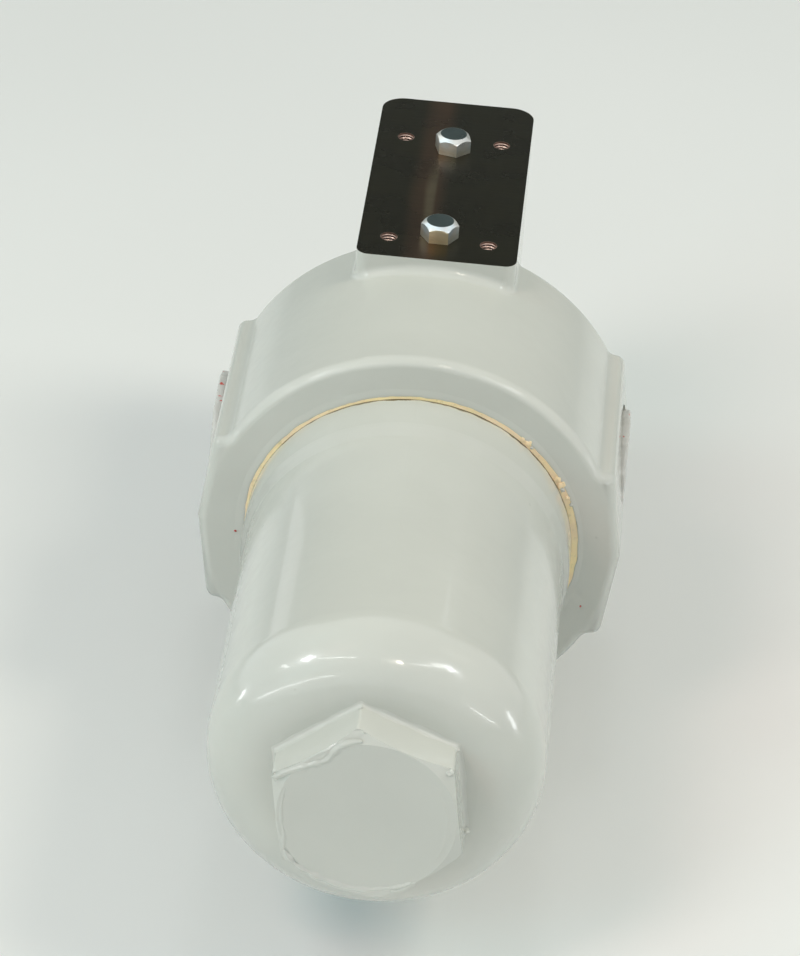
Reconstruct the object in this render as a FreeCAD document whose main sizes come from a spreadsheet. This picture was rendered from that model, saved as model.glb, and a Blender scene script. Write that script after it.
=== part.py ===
"""High pressure filter: a cast head with two side ports and an instrument pad on its rear block,
and a forged bowl that screws into the head over a pleated element.

Frame, in millimetres: the origin is the centre of the machined mounting face under the head.
+Z points up to the instrument pad, +Y along the bowl's axis to the rear block, and the bowl
points along -Y. Each body below is drawn about the bowl's axis, with y = 0 at the head's mouth
face, and its placement then lifts it to the axis height.

The bowl and its element drive the model. The head's bores, its walls, the pad, the foot and the
bypass valve follow from them, through the expressions that are named under the sizes.
"""
import FreeCAD, Part
import Sketcher
import math
import os
import re

SIZES = {
    # Bowl
    "bowl_diameter": 78.0,
    "bowl_wall": 6.5,
    "bowl_floor": 13.0,
    "bowl_corner_round": 15.0,
    "bowl_inner_round": 9.0,
    "bowl_reach": 19.0,             # how far the bowl goes into the head
    "bowl_gap": 6.4,                # between the element's nub and the bowl's floor
    "neck_length": 11.5,            # thicker collar outside the head
    "neck_slope": 3.0,
    "neck_step": 1.3,               # how far the collar stands out from the bowl
    "neck_clearance": 0.3,
    "thread_step": 2.1,             # from the seal's land down to the thread
    "thread_clearance": 0.3,
    "hex_size": 41.0,               # across flats
    "hex_length": 10.7,
    "hex_chamfer": 1.6,
    "hex_edge_round": 0.8,
    "hex_turn": 8.3,                # degrees by which a corner stands left of the top
    # Cast head, with its side cheeks, in which the ports are
    "head_wall": 9.05,              # round the chamfer of the mouth
    "head_rim_round": 2.4,
    "head_back_round": 2.0,
    "head_back_wall": 10.0,
    "dome_length": 8.0,             # conical back that thickens the roof
    "dome_step": 5.25,
    "dome_run": 12.0,
    "ridge_proud": 1.05,            # the cheeks' parting line beyond the round body
    "cheek_draft": 3.1,             # from the parting line to the cheeks' corners
    "cheek_depth": 47.0,            # from the lower to the upper corners
    "cheek_corner_share": 0.683,    # of a cheek's flat top, for the round of its outer corner
    "cheek_root_share": 0.82,       # and for the cast fillet at its root
    # Bores on the bowl axis, depths counted from the mouth face
    "mouth_chamfer": 1.6,
    "seal_land_depth": 9.0,
    "thread_run_out": 1.5,
    "chamber_step": 2.5,            # from the thread down to the chamber
    "chamber_back": 12.0,           # from the port's axis to the chamber's end
    # Inner elbow, which leads the filtered oil to the outlet port
    "elbow_boss_diameter": 36.0,
    "elbow_boss_depth": 18.0,       # its front face behind the mouth face
    "elbow_tube_diameter": 31.0,
    "passage_diameter": 18.0,
    "passage_past_gauge": 3.9,      # how far the passage goes past the outlet gauge hole
    # Ports
    "port_margin": 2.0,             # between the thread bore and the elbow's tube
    "port_bore_diameter": 24.2,
    "port_bore_depth": 18.0,
    "port_face_depth": 2.9,         # from the parting line in to the spot face
    "spot_face_diameter": 37.0,
    # Rear block with the instrument pad
    "pad_rise": 3.75,               # pad above the round body's crown
    "pad_width": 40.0,
    "pad_overlap": 17.0,            # how far the block reaches over the round body
    "pad_length": 85.3,
    "pad_front_round": 3.0,
    "pad_back_round": 6.0,
    "block_drop": 20.0,             # its underside below the bowl's axis
    "block_under_round": 3.0,
    "block_root_round": 2.5,        # cast fillet where it stands on the round body
    "pad_hole_diameter": 4.2,       # tapping drill of the M5 holes
    "pad_hole_depth": 12.0,
    "pad_hole_first": 9.7,          # first pair behind the pad's front edge
    "pad_hole_rows": 54.0,
    "pad_hole_columns": 25.0,
    "gauge_first": 12.1,            # first gauge hole behind the pad's front edge
    "gauge_spacing": 47.0,
    "gauge_hole_diameter": 8.0,
    # Mounting foot under the head
    "foot_height": 3.75,            # mounting face below the round body
    "foot_width": 44.0,
    "foot_margin": 3.0,             # between its ends and the head's
    "foot_corner_round": 5.0,
    "foot_hole_diameter": 6.8,      # tapping drill of the M8 holes
    "foot_hole_depth": 13.0,
    "foot_hole_rows": 40.0,
    "foot_hole_columns": 28.0,
    # Seals of the bowl
    "bowl_groove_start": 3.4,
    "bowl_groove_width": 3.6,
    "bowl_ring_section": 2.5,
    "backup_ring_proud": 0.3,
    "seal_clearance": 0.1,
    # Outlet spigot
    "spigot_diameter": 26.0,
    "spigot_gap": 0.5,              # between its tip and the core
    "spigot_thread_length": 10.0,
    "spigot_collar_diameter": 32.0,
    "spigot_collar_length": 4.0,
    # Filter element
    "element_top": 5.5,             # top of the pleats in front of the mouth face
    "element_length": 72.5,
    "element_clearance": 0.1,
    "pleat_wall": 0.9,
    "pleat_count": 36,
    "pleat_core_gap": 0.2,
    "pleat_rim_gap": 0.3,
    "core_diameter": 24.4,
    "core_wall": 1.0,
    "core_hole_diameter": 4.5,
    "core_hole_rows": 6,
    "core_hole_columns": 3,
    "cap_diameter": 55.0,
    "cap_wall": 1.5,
    "cap_rim_wall": 0.9,
    "cap_rim_depth": 5.0,
    "cap_collar_diameter": 38.0,
    "cap_collar_length": 8.0,
    "element_ring_section": 2.5,
    "element_groove_width": 3.4,
    "nub_diameter": 16.0,
    "nub_length": 6.0,
    "band_width": 6.0,
    "band_wall": 0.5,
    # Bypass valve in the rear block
    "valve_height": 28.0,           # its axis above the bowl axis
    "valve_bore_diameter": 21.0,
    "valve_wall": 14.0,             # from the chamber's end to the valve's bore
    "valve_inlet_diameter": 12.0,
    "seat_length": 4.0,
    "poppet_diameter": 17.2,
    "poppet_length": 4.0,
    "stem_diameter": 6.0,
    "stem_reach": 4.0,              # how far the stem goes into the plug's nose
    "stem_clearance": 0.06,
    "nose_diameter": 13.0,
    "plug_thread_length": 16.0,
    "plug_washer_wall": 1.5,
    "plug_washer_diameter": 27.0,
    "plug_hex_size": 22.0,
    "plug_hex_length": 8.0,
    "spring_wire": 1.4,
    "spring_mean_diameter": 10.4,
    "spring_length": 24.0,
    "spring_turns": 6,
    # Plugs of the pad and of the ports
    "gauge_plug_hex_size": 10.0,
    "gauge_plug_head": 5.0,
    "gauge_plug_shank": 9.0,
    "gauge_plug_clearance": 0.1,
    "gauge_plug_chamfer": 0.8,
    "port_plug_flange": 2.5,
    "port_plug_rim_gap": 1.5,       # between the flange and the spot face's wall
    "port_plug_length": 10.0,
    "port_plug_clearance": 0.15,
    "port_plug_socket": 17.0,       # hexagon in the plug, across flats
    "port_plug_floor": 2.4,
}

# Radii and half widths about the bowl's axis, worked out from the bowl outwards and inwards
BOWL = "(bowl_diameter / 2)"
NECK = f"({BOWL} + neck_step)"
MOUTH = f"({NECK} + neck_clearance)"
THREAD = f"({MOUTH} - thread_step)"
CHAMBER = f"({THREAD} - chamber_step)"
HEAD = f"({MOUTH} + mouth_chamfer + head_wall)"
DOME_ROOT = f"({HEAD} - dome_step)"
RIDGE = f"({HEAD} + ridge_proud)"
CHEEK = f"({RIDGE} - cheek_draft)"
CHEEK_TOP = f"({CHEEK} - sqrt({HEAD} ^ 2 - cheek_depth ^ 2 / 4))"
PORT_FACE = f"({RIDGE} - port_face_depth)"
AXIS = f"({HEAD} + foot_height)"
PAD = f"({HEAD} + pad_rise)"
SPIGOT = "(spigot_diameter / 2)"
CORE = "(core_diameter / 2)"
CAP = "(cap_diameter / 2)"
PLEAT_INNER = f"({CORE} + pleat_core_gap)"
PLEAT_OUTER = f"({CAP} - cap_rim_wall - pleat_rim_gap)"

# Places along the bowl's axis, behind the mouth face
THREAD_END = "(bowl_reach + thread_run_out)"
PORT = f"({THREAD_END} + elbow_tube_diameter / 2 + port_margin)"
CHAMBER_END = f"({PORT} + chamber_back)"
HEAD_END = f"({CHAMBER_END} + head_back_wall)"
PAD_FRONT = f"({HEAD_END} - pad_overlap)"
REAR = f"({PAD_FRONT} + pad_length)"
GAUGE = f"({PAD_FRONT} + gauge_first)"
VALVE = f"({CHAMBER_END} + valve_wall)"
SEAT_FACE = f"({VALVE} + seat_length)"
POPPET_BACK = f"({SEAT_FACE} + poppet_length)"
NOSE = f"({POPPET_BACK} + spring_length)"

# Places along the bowl's axis, in front of the mouth face
ELEMENT_END = "(element_top + element_length)"
CAP_END = f"({ELEMENT_END} + element_clearance + cap_wall)"
BOWL_END = f"({CAP_END} + nub_length + bowl_gap + bowl_floor)"

document = FreeCAD.newDocument("high_pressure_filter")
sheet = document.addObject("Spreadsheet::Sheet", "sizes")
for row, (alias, size) in enumerate(SIZES.items(), start=1):
    sheet.set("A%d" % row, str(size))
    sheet.setAlias("A%d" % row, alias)
document.recompute()

subparts = []


def bound(text):
    """The expression with the sheet's name put before each alias."""
    return re.sub(r"[a-z_]+", lambda word: "sizes." + word[0] if word[0] in SIZES else word[0], text)


def value(text):
    """What an expression comes to with the sheet's present values."""
    return float(sheet.evalExpression(text))


def new_body(label):
    """An empty body on the bowl's axis, which is written to a file of its own."""
    body = document.addObject("PartDesign::Body", label)
    body.Label = label
    body.setExpression("Placement.Base.y", bound(f"-{HEAD_END} / 2"))
    body.setExpression("Placement.Base.z", bound(AXIS))
    subparts.append(body)
    return body


def new_sketch(body, name, role, across="0", up="0", forward="0"):
    """A sketch on one of the body's origin planes, moved across, up and along the plane's normal."""
    sketch = body.newObject("Sketcher::SketchObject", name)
    plane = [feature for feature in body.Origin.OriginFeatures if feature.Role == role][0]
    sketch.AttachmentSupport = [(plane, "")]
    sketch.MapMode = "FlatFace"
    sketch.setExpression("AttachmentOffset.Base.x", bound(across))
    sketch.setExpression("AttachmentOffset.Base.y", bound(up))
    sketch.setExpression("AttachmentOffset.Base.z", bound(forward))
    return sketch


def add_polygon(sketch, corners):
    """A closed run of lines whose corners are held by expressions, each (across, up)."""
    points = [FreeCAD.Vector(value(across), value(up), 0) for across, up in corners]
    first = sketch.GeometryCount
    for start, end in zip(points, points[1:] + points[:1]):
        sketch.addGeometry(Part.LineSegment(start, end), False)
    for index in range(len(points)):
        following = first + (index + 1) % len(points)
        sketch.addConstraint(Sketcher.Constraint("Coincident", first + index, 2, following, 1))
    for index, (across, up) in enumerate(corners):
        for kind, text in (("DistanceX", across), ("DistanceY", up)):
            number = sketch.addConstraint(
                Sketcher.Constraint(kind, -1, 1, first + index, 1, value(text)))
            sketch.setExpression("Constraints[%d]" % number, bound(text))


def add_circle(sketch, across, up, radius):
    """A circle held by expressions."""
    centre = FreeCAD.Vector(value(across), value(up), 0)
    index = sketch.addGeometry(Part.Circle(centre, FreeCAD.Vector(0, 0, 1), value(radius)), False)
    for kind, text in (("DistanceX", across), ("DistanceY", up)):
        number = sketch.addConstraint(Sketcher.Constraint(kind, -1, 1, index, 3, value(text)))
        sketch.setExpression("Constraints[%d]" % number, bound(text))
    number = sketch.addConstraint(Sketcher.Constraint("Radius", index, value(radius)))
    sketch.setExpression("Constraints[%d]" % number, bound(radius))


def lathe(body, name, corners, cut=False, up="0"):
    """Turn an outline of (along the axis, radius) corners about the axis, or cut it away."""
    sketch = new_sketch(body, name + "_outline", "YZ_Plane", up=up)
    add_polygon(sketch, corners)
    feature = body.newObject("PartDesign::Groove" if cut else "PartDesign::Revolution", name)
    feature.Profile = sketch
    feature.ReferenceAxis = (sketch, ["H_Axis"])
    feature.Angle = 360
    return finish(feature)


def extrude(body, name, sketch, length, cut=False, backwards=False, both_ways=False):
    """Pad or pocket a sketch by an expression's length."""
    feature = body.newObject("PartDesign::Pocket" if cut else "PartDesign::Pad", name)
    feature.Profile = sketch
    feature.setExpression("Length", bound(length))
    feature.Reversed = backwards
    feature.Midplane = both_ways
    return finish(feature)


def drill(body, name, role, centres, radius, depth, across="0", up="0", forward="0", backwards=False):
    """Round holes of one size, all starting in one plane."""
    sketch = new_sketch(body, name + "_centres", role, across, up, forward)
    for centre in centres:
        add_circle(sketch, centre[0], centre[1], radius)
    return extrude(body, name, sketch, depth, cut=True, backwards=backwards)


def soften(body, name, kind, size, chosen):
    """Fillet or chamfer the edges of the body so far that the test picks out."""
    base = body.Tip
    names = ["Edge%d" % number for number, edge in enumerate(base.Shape.Edges, start=1) if chosen(edge)]
    if not names:
        raise RuntimeError(name + " finds no edge")
    feature = body.newObject("PartDesign::" + kind, name)
    feature.Base = (base, names)
    feature.setExpression("Radius" if kind == "Fillet" else "Size", bound(size))
    return finish(feature)


def finish(feature):
    """Build the document and stop if the new feature did not build."""
    document.recompute()
    if not feature.isValid() or feature.Shape.isNull() or not feature.Shape.isValid():
        raise RuntimeError(feature.Name + " did not build")
    return feature


def near(first, second):
    """Whether two lengths are the same."""
    return abs(first - second) < 1e-4


def is_ring(edge, radius, along):
    """Whether an edge is a circle about the bowl's axis, of this radius and place."""
    curve = edge.Curve
    return (isinstance(curve, Part.Circle) and near(curve.Radius, value(radius))
            and near(curve.Center.y, value(along)) and near(curve.Center.x, 0)
            and near(abs(curve.Axis.y), 1))


def hexagon(across_flats, turn="0"):
    """The corners of a hexagon of this width about the origin, one pointing up and then turned."""
    radius = f"({across_flats}) / sqrt(3)"
    angles = [f"({60 * corner} - ({turn})) * 1 deg" for corner in range(6)]
    return [(f"{radius} * sin({angle})", f"{radius} * cos({angle})") for angle in angles]


def build_head():
    """The casting: round body, cheeks, rear block, foot and inner elbow, then its bores."""
    body = new_body("head")
    back = f"{HEAD_END} + dome_length"
    lathe(body, "round_body", [
        ("0", "0"), ("0", HEAD), (HEAD_END, HEAD), (HEAD_END, DOME_ROOT),
        (back, f"{DOME_ROOT} - dome_run"), (back, "0")])

    cheeks = new_sketch(body, "cheeks_outline", "XZ_Plane")
    add_polygon(cheeks, [
        (RIDGE, "0"), (CHEEK, "cheek_depth / 2"), ("-" + CHEEK, "cheek_depth / 2"),
        ("-" + RIDGE, "0"), ("-" + CHEEK, "-cheek_depth / 2"), (CHEEK, "-cheek_depth / 2")])
    extrude(body, "cheeks", cheeks, HEAD_END, backwards=True)
    soften(body, "cheek_corners", "Fillet", f"{CHEEK_TOP} * cheek_corner_share", is_cheek_corner)
    soften(body, "cheek_blends", "Fillet", f"{CHEEK_TOP} * cheek_root_share", is_cheek_root)
    soften(body, "front_rim", "Fillet", "head_rim_round", lambda edge: is_outer_edge(edge, "0"))
    soften(body, "back_rim", "Fillet", "head_back_round",
           lambda edge: is_outer_edge(edge, HEAD_END) and not is_ring(edge, DOME_ROOT, HEAD_END))

    block = new_sketch(body, "block_outline", "YZ_Plane")
    under = "-block_drop"
    add_polygon(block, [(PAD_FRONT, "0"), (PAD_FRONT, PAD), (REAR, PAD), (REAR, under), (PAD_FRONT, under)])
    extrude(body, "rear_block", block, "pad_width", both_ways=True)
    soften(body, "pad_back_corners", "Fillet", "pad_back_round", lambda edge: is_upright(edge, REAR))
    soften(body, "pad_front_corners", "Fillet", "pad_front_round", lambda edge: is_upright(edge, PAD_FRONT))
    soften(body, "block_under_edges", "Fillet", "block_under_round",
           lambda edge: near(edge.BoundBox.ZMin, value(under)) and near(edge.BoundBox.ZMax, value(under)))
    soften(body, "block_roots", "Fillet", "block_root_round", is_block_root)

    foot = new_sketch(body, "foot_outline", "XY_Plane", forward="-" + AXIS)
    add_polygon(foot, [
        (f"{across} * foot_width / 2", f"{HEAD_END} / 2 {along} ({HEAD_END} / 2 - foot_margin)")
        for across, along in (("-1", "-"), ("1", "-"), ("1", "+"), ("-1", "+"))])
    extrude(body, "foot", foot, f"{AXIS} - {CHAMBER} - chamber_step")
    soften(body, "foot_corners", "Fillet", "foot_corner_round", is_foot_corner)

    cut_bores(body)
    drill_pad(body)


def is_cheek_corner(edge):
    """Long edges of the cheeks at their upper and lower corners."""
    middle = edge.CenterOfMass
    return near(abs(middle.x), value(CHEEK)) and near(abs(middle.z), value("cheek_depth / 2"))


def is_cheek_root(edge):
    """Inner corners where a cheek's flat top and bottom meet the round body."""
    middle = edge.CenterOfMass
    radius = math.hypot(middle.x, middle.z)
    return (near(radius, value(HEAD)) and near(middle.y, value(f"{HEAD_END} / 2"))
            and near(abs(middle.z), value("cheek_depth / 2")))


def is_outer_edge(edge, along):
    """Outer edges of the round body and its cheeks in one plane across the axis."""
    box = edge.BoundBox
    return near(box.YMin, value(along)) and near(box.YMax, value(along))


def is_upright(edge, along):
    """Upright corners of the rear block, front or rear."""
    box = edge.BoundBox
    return (near(box.XLength, 0) and near(box.YLength, 0) and near(abs(box.XMin), value("pad_width / 2"))
            and near(box.YMin, value(along)) and near(box.ZMax, value(PAD)))


def is_block_root(edge):
    """Edges where the rear block stands on the round body."""
    box = edge.BoundBox
    slack = 0.01
    half = value("pad_width / 2") + slack
    return (box.XMin > -half and box.XMax < half and box.YMin > value(PAD_FRONT) - slack
            and box.YMax < value(HEAD_END) + slack and box.ZMin > value(HEAD) / 2
            and box.ZMax < value(HEAD) + slack)


def is_foot_corner(edge):
    """Upright corners of the foot."""
    box = edge.BoundBox
    return (near(box.XLength, 0) and near(box.YLength, 0) and near(box.ZMin, value("-" + AXIS))
            and near(abs(box.XMin), value("foot_width / 2")))


def cut_bores(body):
    """Mouth, thread bore and chamber, the elbow left standing in them, and the two ports."""
    lathe(body, "mouth", [
        ("0", "0"), ("0", f"{MOUTH} + mouth_chamfer"), ("mouth_chamfer", MOUTH),
        ("seal_land_depth", MOUTH), ("seal_land_depth", THREAD), (THREAD_END, THREAD),
        (THREAD_END, CHAMBER), (CHAMBER_END, CHAMBER), (CHAMBER_END, "0")], cut=True)
    rooted = f"{CHAMBER_END} + 1"
    lathe(body, "elbow_boss", [
        ("elbow_boss_depth", "0"), ("elbow_boss_depth", "elbow_boss_diameter / 2"),
        (rooted, "elbow_boss_diameter / 2"), (rooted, "0")])
    tube = new_sketch(body, "elbow_tube_outline", "YZ_Plane")
    add_circle(tube, PORT, "0", "elbow_tube_diameter / 2")
    extrude(body, "elbow_tube", tube, f"{CHAMBER} + 2")
    thread = "elbow_boss_depth + spigot_thread_length"
    passage_end = f"{GAUGE} + gauge_spacing + passage_past_gauge"
    lathe(body, "outlet_bore", [
        ("elbow_boss_depth - 1", "0"), ("elbow_boss_depth - 1", f"{SPIGOT} + seal_clearance"),
        (thread, f"{SPIGOT} + seal_clearance"), (thread, "passage_diameter / 2"),
        (passage_end, "passage_diameter / 2"), (f"{passage_end} + passage_diameter / 4", "0")], cut=True)
    for side, backwards in (("right", False), ("left", True)):
        sign = "-" if backwards else ""
        inner_depth = f"{PORT_FACE} - {CHAMBER} + 1" if backwards else PORT_FACE
        for step, radius, start, depth in (
                ("spot_face", "spot_face_diameter / 2", RIDGE, "port_face_depth"),
                ("port", "port_bore_diameter / 2", PORT_FACE, "port_bore_depth"),
                ("port_inner", "passage_diameter / 2", PORT_FACE, inner_depth)):
            drill(body, side + "_" + step, "YZ_Plane", [(PORT, "0")], radius, depth,
                  forward=sign + start, backwards=backwards)


def drill_pad(body):
    """The pad's tapped holes, its two gauge holes, the valve bore and the foot's tapped holes."""
    first = f"{PAD_FRONT} + pad_hole_first"
    drill(body, "pad_holes", "XY_Plane", [
        (side + " * pad_hole_columns / 2", along)
        for side in ("-1", "1") for along in (first, first + " + pad_hole_rows")],
        "pad_hole_diameter / 2", "pad_hole_depth", forward=PAD)
    drill(body, "inlet_gauge_hole", "XY_Plane", [("0", GAUGE)],
          "gauge_hole_diameter / 2", f"{PAD} - valve_height", forward=PAD)
    drill(body, "outlet_gauge_hole", "XY_Plane", [("0", f"{GAUGE} + gauge_spacing")],
          "gauge_hole_diameter / 2", PAD, forward=PAD)
    start = f"{CHAMBER_END} - 1"
    lathe(body, "valve_bore", [
        (start, "0"), (start, "valve_inlet_diameter / 2"), (VALVE, "valve_inlet_diameter / 2"),
        (VALVE, "valve_bore_diameter / 2"), (f"{REAR} + 1", "valve_bore_diameter / 2"),
        (f"{REAR} + 1", "0")], cut=True, up="valve_height")
    drill(body, "foot_holes", "XY_Plane", [
        (f"{side} * foot_hole_columns / 2", f"{HEAD_END} / 2 {along} foot_hole_rows / 2")
        for side in ("-1", "1") for along in ("-", "+")],
        "foot_hole_diameter / 2", "foot_hole_depth", forward="-" + AXIS, backwards=True)


def build_bowl():
    """The forged bowl: hexagon, domed end, collar, male thread and the groove of its seal."""
    body = new_body("bowl")
    thread = f"{THREAD} - thread_clearance"
    groove = f"{MOUTH} - bowl_ring_section - 2 * seal_clearance"
    groove_end = "bowl_groove_start + bowl_groove_width"
    shoulder = "seal_land_depth - seal_clearance"
    end = "-" + BOWL_END
    lathe(body, "forging", [
        (end, "0"), (end, BOWL), ("-neck_length - neck_slope", BOWL), ("-neck_length", NECK),
        ("bowl_groove_start", NECK), ("bowl_groove_start", groove), (groove_end, groove),
        (groove_end, NECK), (shoulder, NECK), (shoulder, thread), ("bowl_reach", thread),
        ("bowl_reach", "0")])
    soften(body, "bowl_corner", "Fillet", "bowl_corner_round", lambda edge: is_ring(edge, BOWL, end))
    soften(body, "neck_blends", "Fillet", "neck_slope",
           lambda edge: (is_ring(edge, BOWL, "-neck_length - neck_slope")
                         or is_ring(edge, NECK, "-neck_length")))
    inner = f"{BOWL} - bowl_wall"
    floor = f"bowl_floor - {BOWL_END}"
    lathe(body, "hollow", [
        (floor, "0"), (floor, inner), ("bowl_reach + 1", inner), ("bowl_reach + 1", "0")], cut=True)
    soften(body, "hollow_corner", "Fillet", "bowl_inner_round", lambda edge: is_ring(edge, inner, floor))
    root = "bowl_floor / 4"
    spanner = new_sketch(body, "hexagon_outline", "XZ_Plane", forward=f"{BOWL_END} - {root}")
    add_polygon(spanner, hexagon("hex_size", "hex_turn"))
    extrude(body, "hexagon", spanner, f"hex_length + {root}")
    soften(body, "hexagon_edges", "Fillet", "hex_edge_round", is_hexagon_edge)
    turned_chamfer(body, "hexagon_chamfer", "hex_size", "hex_chamfer", f"-{BOWL_END} - hex_length", "1")


def is_hexagon_edge(edge):
    """Long edges of the bowl's hexagon."""
    middle = edge.CenterOfMass
    return (near(math.hypot(middle.x, middle.z), value("hex_size / sqrt(3)"))
            and edge.BoundBox.YLength > value("hex_length / 2"))


def turned_chamfer(body, name, across_flats, length, face, inwards, up="0"):
    """Turn the corners off a hexagon's end, leaving a round face as wide as its flats."""
    circle = f"({across_flats}) / 2 - ({length}) / 8"
    foot = f"{face} + {inwards} * ({length})"
    beyond = f"{face} - {inwards} * ({length})"
    lathe(body, name, [
        (face, circle), (foot, f"{circle} + ({length}) * sqrt(3)"), (foot, across_flats),
        (beyond, across_flats), (beyond, circle)], cut=True, up=up)


def build_bowl_seals():
    """The ring in the bowl's groove, and the backup ring that shows at the head's mouth."""
    ring = new_body("bowl_o_ring")
    section = new_sketch(ring, "ring_section", "YZ_Plane")
    add_circle(section, "bowl_groove_start + bowl_groove_width / 2",
               f"{MOUTH} - seal_clearance - bowl_ring_section / 2", "bowl_ring_section / 2")
    turn_section(ring, section)
    backup = new_body("bowl_backup_ring")
    inner = f"{NECK} + seal_clearance"
    lip = f"{NECK} + mouth_chamfer"
    width = "(mouth_chamfer - neck_clearance)"
    lathe(backup, "backup_ring", [
        ("-backup_ring_proud", inner), ("-backup_ring_proud", lip), ("0", lip),
        (width, f"{lip} - {width}"), (width, inner)])


def turn_section(body, sketch):
    """Turn a sketch of a ring's section about the bowl's axis."""
    feature = body.newObject("PartDesign::Revolution", body.Label + "_turned")
    feature.Profile = sketch
    feature.ReferenceAxis = (sketch, ["H_Axis"])
    feature.Angle = 360
    finish(feature)


def build_spigot():
    """The tube that carries the element, screwed into the elbow."""
    body = new_body("outlet_spigot")
    tip = "spigot_gap - element_top"
    collar = "elbow_boss_depth - spigot_collar_length"
    end = "elbow_boss_depth + spigot_thread_length"
    lathe(body, "spigot", [
        (tip, "passage_diameter / 2"), (tip, SPIGOT), (collar, SPIGOT),
        (collar, "spigot_collar_diameter / 2"), ("elbow_boss_depth", "spigot_collar_diameter / 2"),
        ("elbow_boss_depth", SPIGOT), (end, SPIGOT), (end, "passage_diameter / 2")])
    soften(body, "spigot_lead_in", "Chamfer", "seal_clearance * 10", lambda edge: is_ring(edge, SPIGOT, tip))


def build_element():
    """Element: two caps, the perforated core, the pleats and the bands that space them."""
    top = "-element_top"
    bottom = "-" + ELEMENT_END
    rim = f"{CAP} - cap_rim_wall"
    bore = f"{SPIGOT} + 2 * seal_clearance"
    upper = new_body("element_top_cap")
    plate = f"{top} + element_clearance + cap_wall"
    collar_end = f"{plate} + cap_collar_length"
    groove = f"{plate} + cap_collar_length / 2 - element_groove_width / 2 - 0.5"
    groove_end = f"{groove} + element_groove_width"
    groove_floor = f"{SPIGOT} + element_ring_section + 2 * seal_clearance"
    lathe(upper, "top_cap", [
        (f"{top} - cap_rim_depth", rim), (f"{top} - cap_rim_depth", CAP), (plate, CAP),
        (plate, "cap_collar_diameter / 2"), (collar_end, "cap_collar_diameter / 2"), (collar_end, bore),
        (groove_end, bore), (groove_end, groove_floor), (groove, groove_floor), (groove, bore),
        (f"{top} + element_clearance", bore), (f"{top} + element_clearance", rim)])
    soften(upper, "top_cap_edge", "Fillet", "cap_rim_wall", lambda edge: is_ring(edge, CAP, plate))

    ring = new_body("element_o_ring")
    section = new_sketch(ring, "element_ring_outline", "YZ_Plane")
    add_circle(section, f"{groove} + element_groove_width / 2",
               f"{SPIGOT} + seal_clearance + element_ring_section / 2", "element_ring_section / 2")
    turn_section(ring, section)

    lower = new_body("element_bottom_cap")
    under = "-" + CAP_END
    nub = "nub_diameter / 2"
    lathe(lower, "bottom_cap", [
        (under, "0"), (under, CAP), (f"{bottom} + cap_rim_depth", CAP), (f"{bottom} + cap_rim_depth", rim),
        (f"{bottom} - element_clearance", rim), (f"{bottom} - element_clearance", "0")])
    soften(lower, "bottom_cap_edge", "Fillet", "cap_rim_wall", lambda edge: is_ring(edge, CAP, under))
    lathe(lower, "nub", [
        (f"{under} + cap_wall / 3", "0"), (f"{under} + cap_wall / 3", f"{nub} + nub_length / 4"),
        (under, f"{nub} + nub_length / 4"), (f"{under} - nub_length", nub), (f"{under} - nub_length", "0")])

    build_core(top, bottom)
    build_pleats(top, bottom)
    bands = [new_body("element_band_%s" % place) for place in ("upper", "lower")]
    for band, share in zip(bands, (1, 2)):
        middle = f"{top} - element_length * {share} / 3"
        near_end, far_end = f"{middle} - band_width / 2", f"{middle} + band_width / 2"
        touching = f"{PLEAT_OUTER} + element_clearance / 2"
        lathe(band, "band_%d" % share, [
            (near_end, touching), (near_end, f"{touching} + band_wall"),
            (far_end, f"{touching} + band_wall"), (far_end, touching)])


def build_core(top, bottom):
    """The tube inside the pleats, pierced by rows of holes through both its walls."""
    core = new_body("element_core")
    inside = f"{CORE} - core_wall"
    lathe(core, "core_tube", [(bottom, inside), (bottom, CORE), (top, CORE), (top, inside)])
    holes = new_sketch(core, "core_holes_centres", "YZ_Plane")
    rows = int(value("core_hole_rows"))
    for number in range(rows):
        along = f"{top} - element_length * {2 * number + 1} / {2 * rows}"
        add_circle(holes, along, "0", "core_hole_diameter / 2")
    pierced = extrude(core, "core_holes", holes, "core_diameter + 2", cut=True, both_ways=True)
    around = core.newObject("PartDesign::PolarPattern", "core_holes_around")
    around.Originals = [pierced]
    around.Axis = (holes, ["H_Axis"])
    around.Angle = 180
    around.setExpression("Occurrences", bound("core_hole_columns"))
    core.Tip = around
    finish(around)


def build_pleats(top, bottom):
    """The pleated pack: one wall folded out and in round the core, drawn as a closed star ring."""
    outer = value(PLEAT_OUTER)
    inner = value(PLEAT_INNER)
    wall = value("pleat_wall")
    count = int(value("pleat_count"))
    half_fold = math.pi / count
    outer_tip = wall / 2 / outer
    inner_tip = wall / 2 / inner
    outline = []
    for fold in range(count):
        middle = 2 * half_fold * fold
        outline += [(outer, middle - outer_tip), (outer, middle + outer_tip)]
        outline += [(inner + wall, middle + half_fold - inner_tip / 2),
                    (inner + wall, middle + half_fold + inner_tip / 2)]
    outside = [polar(radius, angle) for radius, angle in outline]
    inside = []
    for fold in range(count):
        middle = 2 * half_fold * fold
        inside += [polar(outer - 2 * wall, middle),
                   polar(inner, middle + half_fold - inner_tip), polar(inner, middle + half_fold + inner_tip)]
    faces = [Part.Face(Part.makePolygon(points + points[:1])) for points in (outside, inside)]
    length = value(top) - value(bottom)
    pack = faces[0].cut(faces[1]).extrude(FreeCAD.Vector(0, -length, 0))
    pleats = document.addObject("Part::Feature", "element_pleats")
    pleats.Label = "element_pleats"
    pleats.Shape = pack.Solids[0]
    pleats.Placement.Base = FreeCAD.Vector(0, value(f"{top} - {HEAD_END} / 2"), value(AXIS))
    subparts.append(pleats)


def polar(radius, angle):
    """A point of a ring about the bowl's axis."""
    return FreeCAD.Vector(radius * math.cos(angle), 0, radius * math.sin(angle))


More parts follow.
